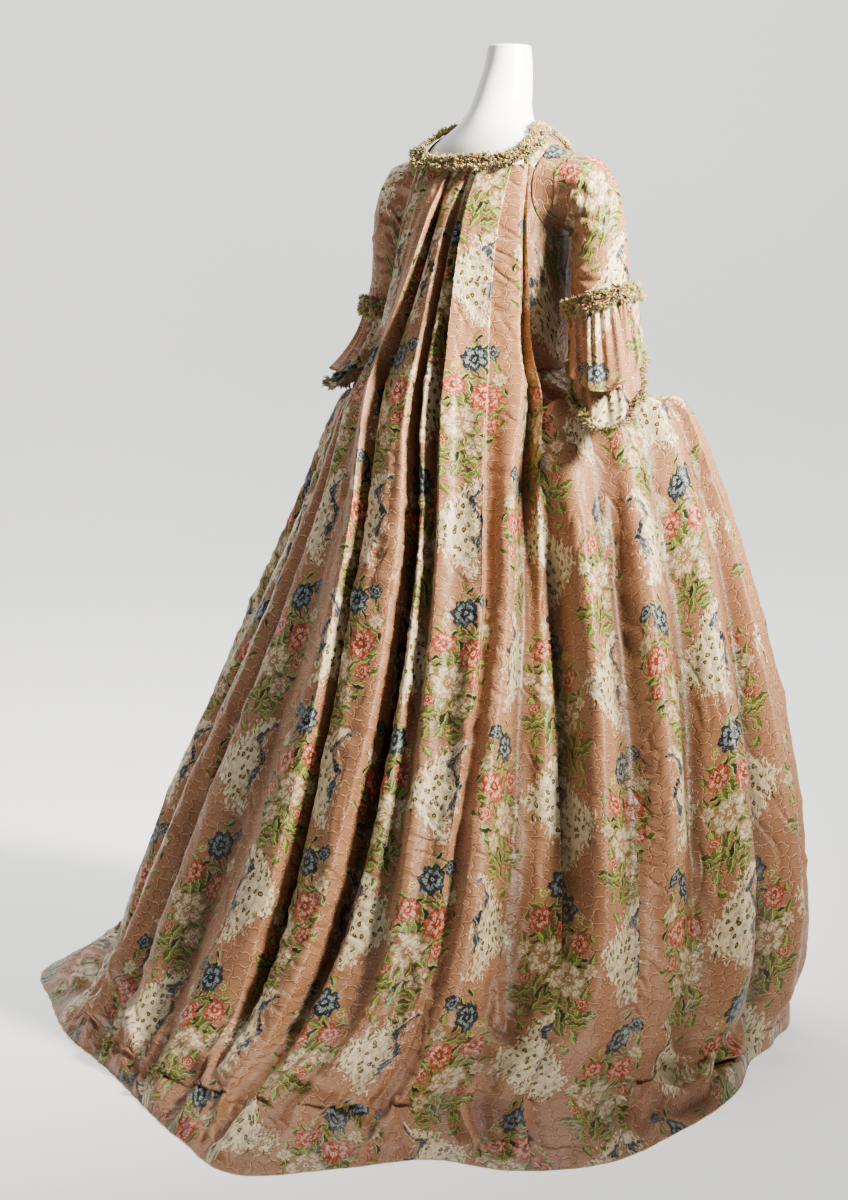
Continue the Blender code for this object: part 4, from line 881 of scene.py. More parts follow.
SKIRT_CREASES = (
    # level angle   level angle    width  height  bow
    (-2.2, 52, -0.4, 56, 0.006, 0.0022, 0.004), (-2.4, 70, -0.2, 72, 0.006, 0.0024, -0.004),
    (-2.0, 88, 0.8, 90, 0.007, 0.0022, 0.004), (-2.3, 104, 0.4, 106, 0.006, 0.0024, -0.003),
    (-2.2, 124, 0.9, 126, 0.007, 0.0020, 0.004), (0.6, 62, 3.6, 58, 0.010, -0.0030, 0.010),
    (1.0, 80, 3.9, 86, 0.011, -0.0030, -0.010), (1.6, 96, 4.4, 98, 0.010, 0.0026, 0.008),
    (2.2, 112, 4.8, 112, 0.010, -0.0028, 0.008), (3.0, 50, 5.2, 49, 0.009, 0.0028, 0.006),
    (3.6, 66, 5.6, 68, 0.011, -0.0034, -0.008), (4.2, 76, 6.0, 75, 0.010, 0.0032, 0.008),
    (4.0, 90, 6.2, 94, 0.012, -0.0034, 0.010), (4.6, 55, 6.6, 56, 0.011, 0.0034, -0.008),
    (5.0, 104, 6.8, 103, 0.011, 0.0030, 0.007), (5.2, 85, 7.2, 84, 0.012, 0.0036, -0.009),
    (5.6, 62, 7.6, 63, 0.012, -0.0036, 0.010), (5.8, 120, 7.6, 119, 0.012, 0.0032, 0.010),
    (6.0, 72, 8.0, 71, 0.013, 0.0038, 0.011), (6.4, 98, 8.2, 97, 0.012, -0.0036, -0.010),
    (6.8, 50, 8.6, 52, 0.012, -0.0038, 0.010), (7.0, 80, 8.9, 79, 0.013, -0.0040, 0.012),
    (7.2, 110, 9.0, 110, 0.013, 0.0036, 0.010), (7.6, 58, 9.4, 58, 0.013, 0.0040, -0.011),
    (8.0, 90, 9.7, 89, 0.014, 0.0040, 0.012), (8.2, 68, 10.0, 67, 0.013, 0.0038, -0.010),
    (8.4, 126, 10.0, 126, 0.013, -0.0036, 0.010), (8.8, 102, 10.4, 102, 0.013, 0.0036, 0.010),
    (9.0, 76, 10.5, 75, 0.013, -0.0040, 0.010), (9.2, 52, 10.5, 51, 0.012, 0.0038, -0.008),
    (9.5, 56, 9.9, 68, 0.011, 0.0034, 0.009), (9.9, 70, 10.3, 82, 0.011, 0.0034, -0.009),
    (6.0, 144, 8.0, 145, 0.012, 0.0030, 0.008), (7.8, 140, 9.6, 139, 0.013, -0.0032, 0.008),
    (3.4, 134, 5.6, 136, 0.010, 0.0026, 0.006),
    # the fold that lies over the train's corner
    (9.85, 84, 10.35, 55, 0.020, 0.026, 0.020), (10.2, 82, 10.65, 57, 0.016, -0.020, 0.018),
    (9.3, 62, 9.9, 78, 0.014, 0.012, -0.016),
    # short wrinkles across
    (1.2, 66, 1.7, 74, 0.007, 0.0036, 0.006), (2.0, 82, 2.4, 72, 0.007, -0.0034, 0.006),
    (2.8, 58, 3.2, 66, 0.008, 0.0040, -0.006), (3.6, 80, 4.0, 70, 0.008, 0.0042, 0.008),
    (4.4, 60, 4.9, 70, 0.008, -0.0040, 0.008), (5.2, 76, 5.6, 66, 0.009, 0.0046, -0.008),
    (5.8, 54, 6.3, 62, 0.009, 0.0046, 0.008), (6.5, 84, 7.0, 74, 0.009, -0.0046, 0.008),
    (7.3, 60, 7.8, 70, 0.010, 0.0052, 0.009), (8.1, 78, 8.5, 68, 0.010, 0.0052, -0.009),
    (8.7, 58, 9.2, 66, 0.010, 0.0056, 0.010), (9.4, 86, 9.9, 76, 0.011, 0.0062, 0.010),
    (6.2, 100, 6.8, 110, 0.009, 0.0044, 0.008), (4.8, 120, 5.3, 110, 0.009, -0.0040, 0.008),
    (7.9, 108, 8.4, 118, 0.010, 0.0048, 0.008), (2.4, 104, 2.9, 114, 0.008, 0.0036, 0.006),
)
LEFT_SKIRT_TURN = 1.5     # degrees by which the left side's creases sit further round
SKIRT_U_START = {1: 0.11, -1: 0.185}
SKIRT_HIDDEN_FOLDS = (2, 4, 6, 8, 10, 12)


def skirt_lines(side, levels):
    """Angles and stand-off of a side width's fold lines at each level."""
    angle = side * -fold_angles(SIDE_FOLDS, 3, SIDE_COLUMNS, levels)
    if side > 0:
        angle = angle + np.radians(SIDE_SHIFT) * np.sin(np.linspace(0, math.pi, len(SIDE_FOLDS)))
    seam = seam_angle(side, np.maximum(levels, HIP)) + side * SEAM_TURN
    loose = np.clip((HIP - levels) / (HIP + 3.0), 0.0, 1.0)
    top_edge = math.radians(SIDE_FOLDS[0][3]) * -side
    angle[:, 0] = seam + (top_edge - seam) * loose
    lift = relief_at(SIDE_FOLDS, 1, 2, np.maximum(levels, HIP), ((NECK, 0.0), (HEM, 0.0)))
    tuck = np.array([row[1] for row in SIDE_FOLDS]) / 1000.0
    lift = lift * (1 - loose[:, None]) + tuck * loose[:, None]
    lift[:, :len(UNDER_SACK)] -= (4 * loose * (1 - loose))[:, None] * np.array(UNDER_SACK)
    lift[:, 0] -= EDGE_DROP * np.interp(levels, (HIP, HUNG_LEVELS[1]), (1.0, 0.0))
    return angle, lift


def skirt_side(name, side, finish):
    """One side of the gown's skirt; side is -1 for the wearer's right, 1 for the left."""
    levels = np.linspace(-3, HEM, SKIRT_ROWS)
    angle, lift = skirt_lines(side, levels)
    round_share = np.interp(levels, (-3, 2, 6), (0.2, 0.7, 1.0))
    angle = fold_columns(angle, SKIRT_PER_FOLD, np.zeros(len(levels)))
    lift = fold_columns(lift, SKIRT_PER_FOLD, round_share)
    plain, lift = hung_cloth(side_ring, levels, angle, lift)
    plain[0, :, 2] = WAIST_HEIGHT
    chart = across, down = arc_lengths(plain)
    turn = LEFT_SKIRT_TURN if side > 0 else 0.0
    table = [(a, side * (b + turn), c, side * (d + turn), *rest) for a, b, c, d, *rest in SKIRT_CREASES]
    height = creases(*chart, placed(chart, levels, angle, table))
    seed = 11 if side > 0 else 21
    height += 0.0012 * cloth_noise(*chart, 0.08, seed) + crumple(*chart, seed + 30)
    for line, offset in ((0, 1), (3, 2), (7, 3), (11, 4)):
        height += puckers(across, down, line * SKIRT_PER_FOLD, 0.10, 0.98, seed + offset)
    calm = np.interp(levels, (-3, -2.4, 10.3, 11), (0.1, 1.0, 1.0, 0.55))[:, None]
    edge = np.minimum(1.0, across / SEAM_CALM)
    grid = hem_rolled(plain - side * normals_of(plain) * (height * calm * edge)[..., None])
    cuts = [line * SKIRT_PER_FOLD for line in SKIRT_HIDDEN_FOLDS]
    reference = int(np.argmin(np.abs(levels - SKIRT_REFERENCE)))
    made = pleated_sheet(name, grid, chart, cuts, reference, SKIRT_U_START[side], finish)
    # Painted shade in the troughs between the folds.
    mark_painted_shade(made, HOLLOW_SHADE * hollows(lift + height, SKIRT_PER_FOLD))
    if side > 0:
        made.data.flip_normals()
    return made


def petticoat(finish):
    """Underskirt of plain silk, from the form's waist to just above the ground."""
    rows, columns = ((70, 216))
    table = np.array(PETTICOAT)
    along = np.linspace(0, 1, rows)
    sizes = smooth(np.linspace(0, 1, len(table)), table, along)[:, None, :]
    angle = -np.linspace(0, 2 * math.pi, columns + 1)[:-1][None, :]
    height, half, centre, back, front = (sizes[..., k] for k in range(5))
    fullness = (0.010 + 0.014 * along[:, None]) * np.minimum(1.0, along[:, None] * 8)
    swell = 1 + fullness * np.cos(PETTICOAT_FOLDS * angle)
    swell += 0.25 * fullness * np.sin(5 * PETTICOAT_FOLDS * angle / 2 + 1.0)
    cosine = np.cos(angle)
    x = half * np.sin(angle) * swell
    y = centre + np.where(cosine > 0, back, front) * cosine * swell
    grid = np.stack([x, y, np.broadcast_to(height, x.shape)], axis=-1)
    grid[0] = body_point(height[0], angle[0], WALL)
    return sheet("petticoat_cloth", grid, finish, closed=True)


def hem_facing(finish):
    """Plain facing under the edge of the train, just showing beyond it."""
    angle = np.radians(np.linspace(-72, 84, 320))
    edge = gown_ring(np.full(angle.shape, float(HEM)), angle)
    flat = edge[:, :2]
    out = flat / np.linalg.norm(flat, axis=1, keepdims=True)
    rows = []
    for reach, height in ((0.0020, 0.0003), (0.0024, 0.0007), (0.0018, 0.0011), (0.0000, 0.0008),
                          (-0.012, 0.0012), (-0.034, 0.0012)):
        wander = 0.0006 * np.sin(np.degrees(angle) * 1.7) + 0.0004 * np.sin(np.degrees(angle) * 4.1)
        spot = flat + out * (reach + wander)[:, None]
        rows.append(np.concatenate([spot, np.full((len(angle), 1), height)], axis=1))
    return sheet("hem_facing_cloth", np.stack(rows)[::-1], finish)


# ---------------------------------------------------------------- bodice
# start across, start down, end across, end down, half width, height, bow: in metres
BODICE_CREASES = (
    (0.075, 0.10, 0.110, 0.22, 0.006, -0.0012, 0.006),
    (0.095, 0.07, 0.125, 0.16, 0.005, 0.0012, 0.005),
    (0.120, 0.12, 0.150, 0.10, 0.005, 0.0010, 0.004),
    (0.060, 0.20, 0.130, 0.17, 0.006, 0.0012, -0.005),
    (0.050, 0.24, 0.140, 0.225, 0.005, -0.0011, 0.004),
    (0.070, 0.265, 0.160, 0.25, 0.005, 0.0012, 0.004),
    (0.140, 0.06, 0.175, 0.14, 0.006, -0.0012, -0.004),
    (0.180, 0.10, 0.215, 0.16, 0.006, 0.0011, 0.005),
    (0.160, 0.20, 0.230, 0.22, 0.006, -0.0012, 0.005),
    (0.030, 0.12, 0.070, 0.15, 0.005, 0.0008, 0.003),
)


def body_sheet(name, height, angle, side, finish, table=(), seed=51):
    """Sheet that follows the torso, with a few creases where it strains."""
    outer = body_point(height, angle, BODICE_OFF)
    if side < 0:
        outer = mirrored(outer)[:, ::-1]
    across, down = arc_lengths(outer)
    lift = 1.6 * creases(across if side > 0 else across[:, -1:] - across, down, table)
    lift += 0.0004 * cloth_noise(across, down, 0.035, seed)
    edge = np.minimum(1.0, down / 0.01) * np.minimum(1.0, (down[-1:] - down) / 0.01)
    outward = normals_of(outer)
    facing = np.sign(np.sum(outward * (outer - np.array([0, 0, 1.2])), axis=-1).mean())
    grid = outer + outward * facing * (np.maximum(lift, -0.0010) * edge)[..., None]
    made = sheet(name, grid, finish, 0.5, 0.0, facing > 0)
    # Painted shade on the side of the bodice below the arm.
    degrees = np.degrees(np.broadcast_to(angle, height.shape))
    arm_shade = np.exp(-((degrees - 84) / 26) ** 2 - (np.maximum(1.20 - height, 0) / 0.14) ** 2)
    arm_shade = ARM_PAINTED_SHADE * arm_shade * np.clip((1.30 - height) / 0.05, 0, 1)
    mark_painted_shade(made, arm_shade if side > 0 else arm_shade[:, ::-1])
    return thickened(made)


def bodice(name, side, finish):
    """Side back, side and front of the bodice, with the armhole cut into its top."""
    columns, rows = 112, 60
    low, high = 18.0, 150.0
    share = np.linspace(0, 1, rows)[:, None]
    plain = np.linspace(low, high, columns)[None, :]
    top = table_curve(BODICE_TOP, plain[0])[None, :]
    height = top + (WAIST_HEIGHT + SEAM - top) * share
    front = np.interp(height, [row[0] for row in FRONT_EDGE], [row[1] for row in FRONT_EDGE])
    angle = low + (plain - low) * (front - low) / (high - low)
    return body_sheet(name, height, np.radians(angle), side, finish, BODICE_CREASES)


def strap(name, side, finish):
    """Shoulder strap between the armhole and the neck edge."""
    angle = np.linspace(45, 126, 100)[None, :]
    foot = table_curve(STRAP_FOOT, angle[0])
    top = table_curve(NECKLINE, angle[0]) - 0.001
    share = np.linspace(0, 1, 14)[:, None]
    height = top + (foot - top) * share
    return body_sheet(name, height, np.radians(np.broadcast_to(angle, height.shape)), side, finish)


def stomacher(finish):
    """Front panel between the gown's front edges, ending in a point below the waist."""
    across = np.linspace(-1, 1, 56)[None, :]
    down = np.linspace(0, 1, 64)[:, None]
    top = 1.206 - 0.002 * np.abs(across)
    bottom = 0.985 + 0.0348 * np.abs(across)
    height = top + (bottom - top) * down
    edge = np.interp(height, [row[0] for row in FRONT_EDGE], [row[1] for row in FRONT_EDGE])
    spread = 180.0 - edge - STOMACHER_PARTED
    angle = np.radians(180.0 + across * spread)
    return body_sheet("stomacher_cloth", height, angle, 1, finish)


# ---------------------------------------------------------------- sleeves
# along (0 shoulder, 1 elbow) and turn in degrees at each end, half width, height, bow
SLEEVE_CREASES = (
    (0.00, 205, 0.20, 150, 0.007, -0.0034, 0.006), (0.02, 228, 0.30, 165, 0.006, 0.0030, -0.008),
    (0.04, 240, 0.42, 190, 0.007, -0.0036, 0.008), (0.10, 252, 0.50, 205, 0.006, 0.0030, 0.006),
    (0.06, 150, 0.32, 175, 0.006, -0.0022, 0.006), (0.10, 100, 0.40, 120, 0.007, 0.0022, -0.006),
    (0.02, 70, 0.30, 60, 0.006, 0.0020, 0.005), (0.16, 210, 0.34, 175, 0.006, 0.0022, 0.006),
    (0.30, 250, 0.46, 200, 0.006, -0.0020, 0.006), (0.38, 170, 0.52, 120, 0.007, 0.0022, 0.008),
    (0.50, 215, 0.62, 160, 0.007, -0.0024, 0.008), (0.58, 120, 0.74, 80, 0.006, 0.0018, -0.006),
    (0.62, 235, 0.74, 175, 0.006, 0.0024, 0.007), (0.74, 200, 0.86, 140, 0.006, -0.0022, 0.006),
    (0.80, 245, 0.92, 190, 0.005, 0.0022, 0.005), (0.84, 130, 0.96, 85, 0.005, 0.0018, 0.004),
    (0.44, 60, 0.70, 50, 0.007, -0.0018, 0.005), (0.20, 300, 0.45, 320, 0.006, 0.0018, 0.005),
    (0.50, 330, 0.78, 310, 0.006, -0.0018, 0.005), (0.70, 20, 0.92, 30, 0.006, 0.0018, -0.005),
)
ARM_RADIUS = 0.046         # by which the creases' turns are measured in metres
SLEEVE_U_START = {1: 0.10, -1: 0.36}
ARM_PAINTED_SHADE = 0.72         # painted shade under the arm: how much darker the cloth is painted there
HEAD_GATHERS = 34
GATHERED_ROWS = 14         # rows over which those gathers die away
HEAD_ROWS = 14
HEAD_RUN = 0.42            # how far the sleeve runs on along the bodice before it turns out
HEAD_LOWER = 0.013         # how far the sleeve's head reaches down over the side of the bodice
ARMPIT_DROP = 0.026        # how far the cloth under the arm hangs below the arm there
ARMPIT_SPAN = 0.26         # down to this share of the sleeve


def sleeve_head(tube, turn):
    """Rows that run on from the tube, up along the bodice to the armhole's edge."""
    middle, height, half_angle, half_height = ARMHOLE
    joins = np.linspace(0, 1, HEAD_ROWS + 1)[:-1, None]
    inwards = 1.0 - HEAD_RUN * joins
    lower = HEAD_LOWER * (turn > math.pi)
    angle = np.radians(middle + half_angle * inwards * np.cos(turn))
    level = height - lower * np.abs(np.sin(turn)) + (half_height + lower) * inwards * np.sin(turn)
    flush = body_point(level, angle, BODICE_OFF + 0.0005)
    joins = joins[..., None]
    arriving = tube[0] + (tube[3] - tube[0]) * 2.4 * (joins - 1.0)
    turned = eased(joins)
    return flush * (1 - turned) + arriving * turned


def sleeve_lift(share, turn, down):
    """Height of the sleeve's creases and of the fine gathers at its head."""
    table = []
    for start, turn0, end, turn1, *rest in SLEEVE_CREASES:
        first, last = (down[int(np.argmin(np.abs(share - k))), 0] for k in (start, end))
        table.append((math.radians(turn0) * ARM_RADIUS, first,
                      math.radians(turn1) * ARM_RADIUS, last, *rest))
    lift = sum(creases(np.radians(np.degrees(turn) + shift) * ARM_RADIUS, down, table)
               for shift in (-360, 0, 360))
    step = np.arange(len(share))[:, None] / GATHERED_ROWS
    gathers = np.maximum(0, 1 - step) * np.minimum(1, step * 4)
    return lift + 0.0002 * gathers * np.sin(HEAD_GATHERS * turn + 1.5 * np.sin(3 * turn))


def sleeve(side_name, side, finish):
    """Sleeve from the armhole, lying just outside the bodice there, to the elbow."""
    columns, rows = 150, 84
    turn = np.linspace(0, 2 * math.pi, columns + 1)[:-1][None, :]
    along, turn = np.broadcast_arrays(np.linspace(0, 1, rows)[:, None], turn)
    tube = sleeve_ring(side_name, along, turn)[0].copy()
    slack = np.maximum(-np.sin(turn), 0.0) * np.exp(-(along / ARMPIT_SPAN) ** 2)
    tube[..., 2] -= ARMPIT_DROP * slack
    grid = np.concatenate([sleeve_head(tube, turn[:1]), tube])
    turn = np.broadcast_to(turn[:1], grid.shape[:2])
    share = np.concatenate([np.zeros(HEAD_ROWS), along[:, 0]])
    down = arc_lengths(grid)[1].mean(axis=1, keepdims=True) + 0 * turn
    lift = sleeve_lift(share, turn, down)
    row = np.arange(len(grid))[:, None]
    ends = np.minimum(1.0, np.minimum(row, len(grid) - 1 - row) / 6.0)
    out, facing = tube_outward(grid)
    grid = grid + out * (np.maximum(1.7 * lift, -0.0034) * ends)[..., None]
    grid = grid if side > 0 else mirrored(grid)[:, ::-1]
    made = sheet(f"sleeve_{side_name}_cloth", grid, finish, SLEEVE_U_START[side], 0.31,
                 facing > 0, closed=True)
    # Painted shade on the inner side of the sleeve, strongest near the armhole.
    under = np.clip(np.cos(np.radians(np.degrees(turn) - 262.0)) * 1.5 - 0.45, 0, 1)
    arm_shade = ARM_PAINTED_SHADE * under * np.exp(-((share[:, None] - 0.10) / 0.55) ** 2)
    mark_painted_shade(made, arm_shade if side > 0 else arm_shade[:, ::-1])
    return thickened(made)


PINKED_SCALLOPS = 96      # small cut scallops round a flounce's edge
FINE_GATHERS = 23
FLOUNCE_U_START = {"upper": 0.20, "lower": 0.03}


def flounce(side_name, side, name, sizes, finish):
    """Gathered flounce below the cuff, with a pinked edge on the upper one."""
    columns, rows = ((310, 26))
    turn = np.arange(columns) * 2 * math.pi / columns
    grid = flounce_grid(side_name, turn, rows, sizes)
    share = np.linspace(0, 1, rows)[:, None]
    hang = unit(np.gradient(grid, axis=0))
    phase = FINE_GATHERS * turn + 1.3 * np.sin(4 * turn + (1 if name == "upper" else 3))
    uneven = 1 + 0.6 * np.sin(5 * turn + 1) * np.sin(2 * turn)
    gather = 0.0040 * uneven * np.exp(-share / 0.50) * np.minimum(1, share * 10) * np.sin(phase)
    gather = gather + 0.0016 * np.sin(math.pi * share) * np.sin(2.2 * FLOUNCE_WAVES * turn + 2)
    out, facing = tube_outward(grid)
    grid = grid + out * gather[..., None]
    if name == "upper":
        scallop = 0.0016 * (np.abs(np.sin(PINKED_SCALLOPS * turn / 2)) - 1.0)
        for row, part in ((-1, 1.0), (-2, 0.4)):
            grid[row] = grid[row] + hang[row] * part * scallop[:, None]
    edge = grid[-1].copy(), hang[-1].copy(), out[-1].copy()
    if side < 0:
        grid = mirrored(grid)[:, ::-1]
        edge = tuple(mirrored(each)[::-1] for each in edge)
    made = sheet(f"flounce_{name}_{side_name}_cloth", grid, finish, FLOUNCE_U_START[name], 0.0,
                 facing > 0, closed=True)
    return thickened(made, 0.0007), edge


# ---------------------------------------------------------------- trims
BAND_ROWS = 11
CUFF_COLUMNS, NECK_COLUMNS = 360, 760


def ruched(line, up, away, width, waves, puff, closed, name, finish):
    """Band of silk gathered along its middle and both edges into small puffs."""
    phase = np.linspace(0, 2 * math.pi * waves, len(line), endpoint=not closed)
    wander = 0.8 * np.sin(phase / 5.3) + 0.5 * np.sin(phase / 2.7 + 1)
    grid = []
    for share in np.linspace(-0.5, 0.5, BAND_ROWS):
        tied = min(abs(abs(share) - 0.30), 1.0)
        full = 1 - math.exp(-(tied / 0.07) ** 2)
        swell = puff * full * (0.55 + 0.45 * np.sin(phase + wander + 5 * share))
        ruffle = puff * 0.5 * (abs(share) > 0.32) * np.sin(1.5 * phase + 2 * wander)
        offset = np.maximum(swell + ruffle * (abs(share) - 0.30) / 0.2, 0.0002)
        shift = 0.0006 * np.sin(2 * phase + 9 * share)
        grid.append(line + up * (share * width + shift)[:, None] + away * offset[:, None])
    return thickened(sheet(name, np.stack(grid), finish, 0.09, 0.02, closed=closed), 0.0006)


TUFT_COLOURS = 16
STRAND_HALF, STRAND_THIRD = 0.00080, 0.0011     # a strand's section, in metres
STRAND_FACES = ([0, 1, 4, 3], [1, 2, 5, 4], [2, 0, 3, 5], [3, 4, 6], [4, 5, 6], [5, 3, 6])
STRAND_CORNERS = 3 * 4 + 3 * 3


def spaced_along(line, out, normal, closed, spacing):
    """Points, ways out and normals at even steps along an edge, and how many there are."""
    fields = [np.concatenate([part, part[:1]]) if closed else part for part in (line, out, normal)]
    steps = np.linalg.norm(np.diff(fields[0], axis=0), axis=1)
    run = np.concatenate([[0], np.cumsum(steps)])
    count = int(run[-1] / spacing)
    at = (np.arange(count) + 0.5) * run[-1] / count
    return count, [np.stack([np.interp(at, run, part[:, k]) for k in range(3)], axis=1)
                   for part in fields]


def strand(source, knot, way, face, reach):
    """Points of one strand: two triangles and its tip, drooping a little."""
    side_way = np.cross(way, face)
    side_way /= max(np.linalg.norm(side_way), 1e-6)
    half = side_way * STRAND_HALF
    third = np.cross(way, side_way) * STRAND_THIRD
    droop = np.array([0, 0, -1.0]) * reach * source.uniform(0.0, 0.2)
    middle = knot + way * reach * 0.55
    tip = knot + way * reach * source.uniform(0.8, 1.0) + droop
    return [knot - half * 0.6, knot + half * 0.6, knot + third * 0.6,
            middle - half * 1.5, middle + half * 1.5, middle + third * 1.4, tip]


def tufted_edge(name, edge, finish, closed, length, spacing, strands=9, seed=71, scatter=0.0):
    """Fly fringe: little bunches of silk strands knotted at intervals along an edge."""
    source = np.random.default_rng(seed)
    count, (foot, away, face) = spaced_along(*edge, closed, spacing)
    ahead = np.cross(face, away)
    ahead /= np.linalg.norm(ahead, axis=1, keepdims=True)
    points, faces, uv = [], [], []
    for k in range(count):
        sprawl = source.uniform(0.6, 1.4)
        shade = source.integers(0, TUFT_COLOURS)
        knot = foot[k] + ahead[k] * source.uniform(-0.6, 0.6) * spacing
        knot = knot + away[k] * source.uniform(-1.0, 0.4) * scatter
        reach = length * source.uniform(0.45, 1.1)
        bias = source.uniform(-0.7, 0.7)
        for _ in range(strands):
            way = (away[k] * source.uniform(-0.1, 1.2) + ahead[k] * (bias + source.uniform(-0.9, 0.9))
                   + face[k] * source.uniform(0.1, 1.3) * sprawl)
            way /= np.linalg.norm(way)
            faces += [[len(points) + i for i in corners] for corners in STRAND_FACES]
            points += strand(source, knot, way, face[k], reach)
            uv += [[(shade + 0.5) / TUFT_COLOURS, source.uniform(0, 1)]] * STRAND_CORNERS
    return make_mesh(name, points, faces, finish, uv)


# each row of fringe on a band: share of the band's width, length, spacing, strands, scatter
CUFF_FRINGE = ((-0.40, 0.0135, 0.0026, 9, 0.006), (0.34, 0.0115, 0.0026, 9, 0.006),
               (0.0, 0.0080, 0.0040, 8, 0.005))
NECK_FRINGE = ((-0.40, 0.0135, 0.0026, 9, 0.006), (0.40, 0.0135, 0.0026, 9, 0.006),
               (0.0, 0.0080, 0.0040, 8, 0.005))
FRINGE_ABOVE = 0.002      # height over the band of the row down its middle


def fringe_rows(names, table, line, up, away, width, thread, closed, seed):
    """Rows of fringe along a band: at its lower edge, its upper edge and down its middle."""
    made = []
    for k, (name, (share, length, spacing, strands, scatter)) in enumerate(zip(names, table)):
        foot = line + up * width * share if share else line + away * FRINGE_ABOVE
        edge = foot, -up if share < 0 else up, away
        made.append(tufted_edge(name, edge, thread, closed, length, spacing, strands, seed + k,
                                scatter))
    return made


def cuff(side_name, side, silk, thread):
    """Ruched band round the foot of the sleeve with fringe on both its edges."""
    turn = np.arange(CUFF_COLUMNS) * 2 * math.pi / CUFF_COLUMNS
    ring, down, away = sleeve_ring(side_name, np.ones(turn.shape), turn, CUFF_STAND)
    line, up = ring + down * (0.5 - CUFF_ABOVE) * CUFF_WIDTH, -down
    if side < 0:
        line, up, away = (mirrored(each)[::-1] for each in (line, up, away))
    band = ruched(line, up, away, CUFF_WIDTH * 0.8, CUFF_WAVES * 2, 0.0030, True,
                  f"cuff_trim_{side_name}_cloth", silk)
    names = [f"cuff_fringe_{side_name}_{row}" for row in ("lower", "upper", "middle")]
    return band, *fringe_rows(names, CUFF_FRINGE, line, up, away, CUFF_WIDTH, thread, True, 81)


def neck(silk, thread):
    """Ruched band round the neck and down the front edges, fringed on both edges."""
    line, up, away = neck_path(NECK_COLUMNS)
    band = ruched(line, up, away, NECK_TRIM_WIDTH * 0.85, NECK_WAVES * 2.4, 0.0024, False,
                  "neck_trim_cloth", silk)
    names = [f"neck_fringe_{row}_threads" for row in ("inner", "outer", "middle")]
    return band, *fringe_rows(names, NECK_FRINGE, line, up, away, NECK_TRIM_WIDTH, thread, False, 91)


# ---------------------------------------------------------------- form
def ring_solid(name, rings, finish):
    """Closed solid from rings of points, top to bottom."""
    rows, columns = rings.shape[:2]
    faces = [face[::-1] for face in grid_faces(rows, columns, True)]
    faces.append(list(range(columns))[::-1])
    faces.append([(rows - 1) * columns + k for k in range(columns)])
    return make_mesh(name, rings, faces, finish, flat_faces=2)


def form_torso(finish):
    """Smooth torso with a neck that ends in a flat, softly rounded cap."""
    angle = -np.linspace(0, 2 * math.pi, 97)[:-1]
    body = body_point(np.linspace(FORM_TOP, FORM_BOTTOM + 0.0006, 150)[:, None], angle[None, :])
    middle = body[:1].mean(axis=1, keepdims=True)
    cap = []
    for lean in np.radians(np.linspace(88, 8, 9)):
        reach = 1 - 0.13 * (1 - math.cos(lean))
        ring = middle + (body[:1] - middle) * reach
        ring[..., 2] = FORM_TOP + 0.0030 * math.sin(lean)
        cap.append(ring[0])
    return ring_solid("form_torso_skin", np.concatenate([np.stack(cap), body]), finish)


# ---------------------------------------------------------------- finishes
class Graph:
    """Short ways to add shader nodes and join them."""

    def __init__(self, tree):
        self.tree = tree

    def add(self, kind, values=(), **settings):
        node = self.tree.nodes.new(kind)
        for key, value in settings.items():
            setattr(node, key, value)
        for key, value in dict(values).items():
            self.put(node.inputs[key], value)
        return node

    def put(self, socket, value):
        if isinstance(value, bpy.types.NodeSocket):
            self.tree.links.new(value, socket)
        else:
            socket.default_value = value

    def math(self, operation, *values):
        return self.add("ShaderNodeMath", enumerate(values), operation=operation).outputs[0]

    def vector(self, operation, *values):
        node = self.add("ShaderNodeVectorMath", enumerate(values), operation=operation)
        return node.outputs["Value" if operation in ("LENGTH", "DISTANCE") else "Vector"]

    def combine(self, x, y, z=0.0):
        return self.add("ShaderNodeCombineXYZ", {"X": x, "Y": y, "Z": z}).outputs[0]

    def parts(self, vector):
        node = self.add("ShaderNodeSeparateXYZ", {"Vector": vector})
        return node.outputs[0], node.outputs[1], node.outputs[2]

    def ease(self, value, low, high):
        """0 at low and 1 at high, eased; low may be above high."""
        node = self.add("ShaderNodeMapRange", {"Value": value, "From Min": low, "From Max": high},
                        interpolation_type="SMOOTHSTEP")
        return node.outputs[0]

    def pick(self, share, low, high):
        """One vector where the share is 0 and the other where it is 1."""
        node = self.add("ShaderNodeMix", data_type="VECTOR")
        self.put(node.inputs["Factor"], share)
        vectors = [s for s in node.inputs if s.type == "VECTOR" and s.name in ("A", "B")]
        self.put(vectors[0], low)
        self.put(vectors[1], high)
        return next(s for s in node.outputs if s.type == "VECTOR")

    def over(self, share, under, top):
        """Top colour laid over the one under it by its share."""
        node = self.add("ShaderNodeMix", data_type="RGBA")
        self.put(node.inputs["Factor"], share)
        colours = [s for s in node.inputs if s.type == "RGBA"]
        for socket, value in zip(colours, (under, top)):
            self.put(socket, (*value, 1.0) if isinstance(value, tuple) and len(value) == 3 else value)
        return next(s for s in node.outputs if s.type == "RGBA")

    def palette(self, at, colours):
        """One of several colours, by a whole number from 0."""
        node = self.add("ShaderNodeValToRGB")
        node.color_ramp.interpolation = "CONSTANT"
        stops = node.color_ramp.elements
        while len(stops) < len(colours):
            stops.new(1.0)
        for k, colour in enumerate(colours):
            stops[k].position = k / len(colours)
            stops[k].color = (*colour, 1.0)
        share = self.mad(at, 1.0 / len(colours), 0.5 / len(colours))
        self.put(node.inputs[0], share)
        return node.outputs[0]

    def noise(self, vector, scale, detail=1.0, rough=0.5):
        node = self.add("ShaderNodeTexNoise", {"Vector": vector, "Scale": scale, "Detail": detail,
                                               "Roughness": rough})
        return node.outputs["Fac"], node.outputs["Color"]


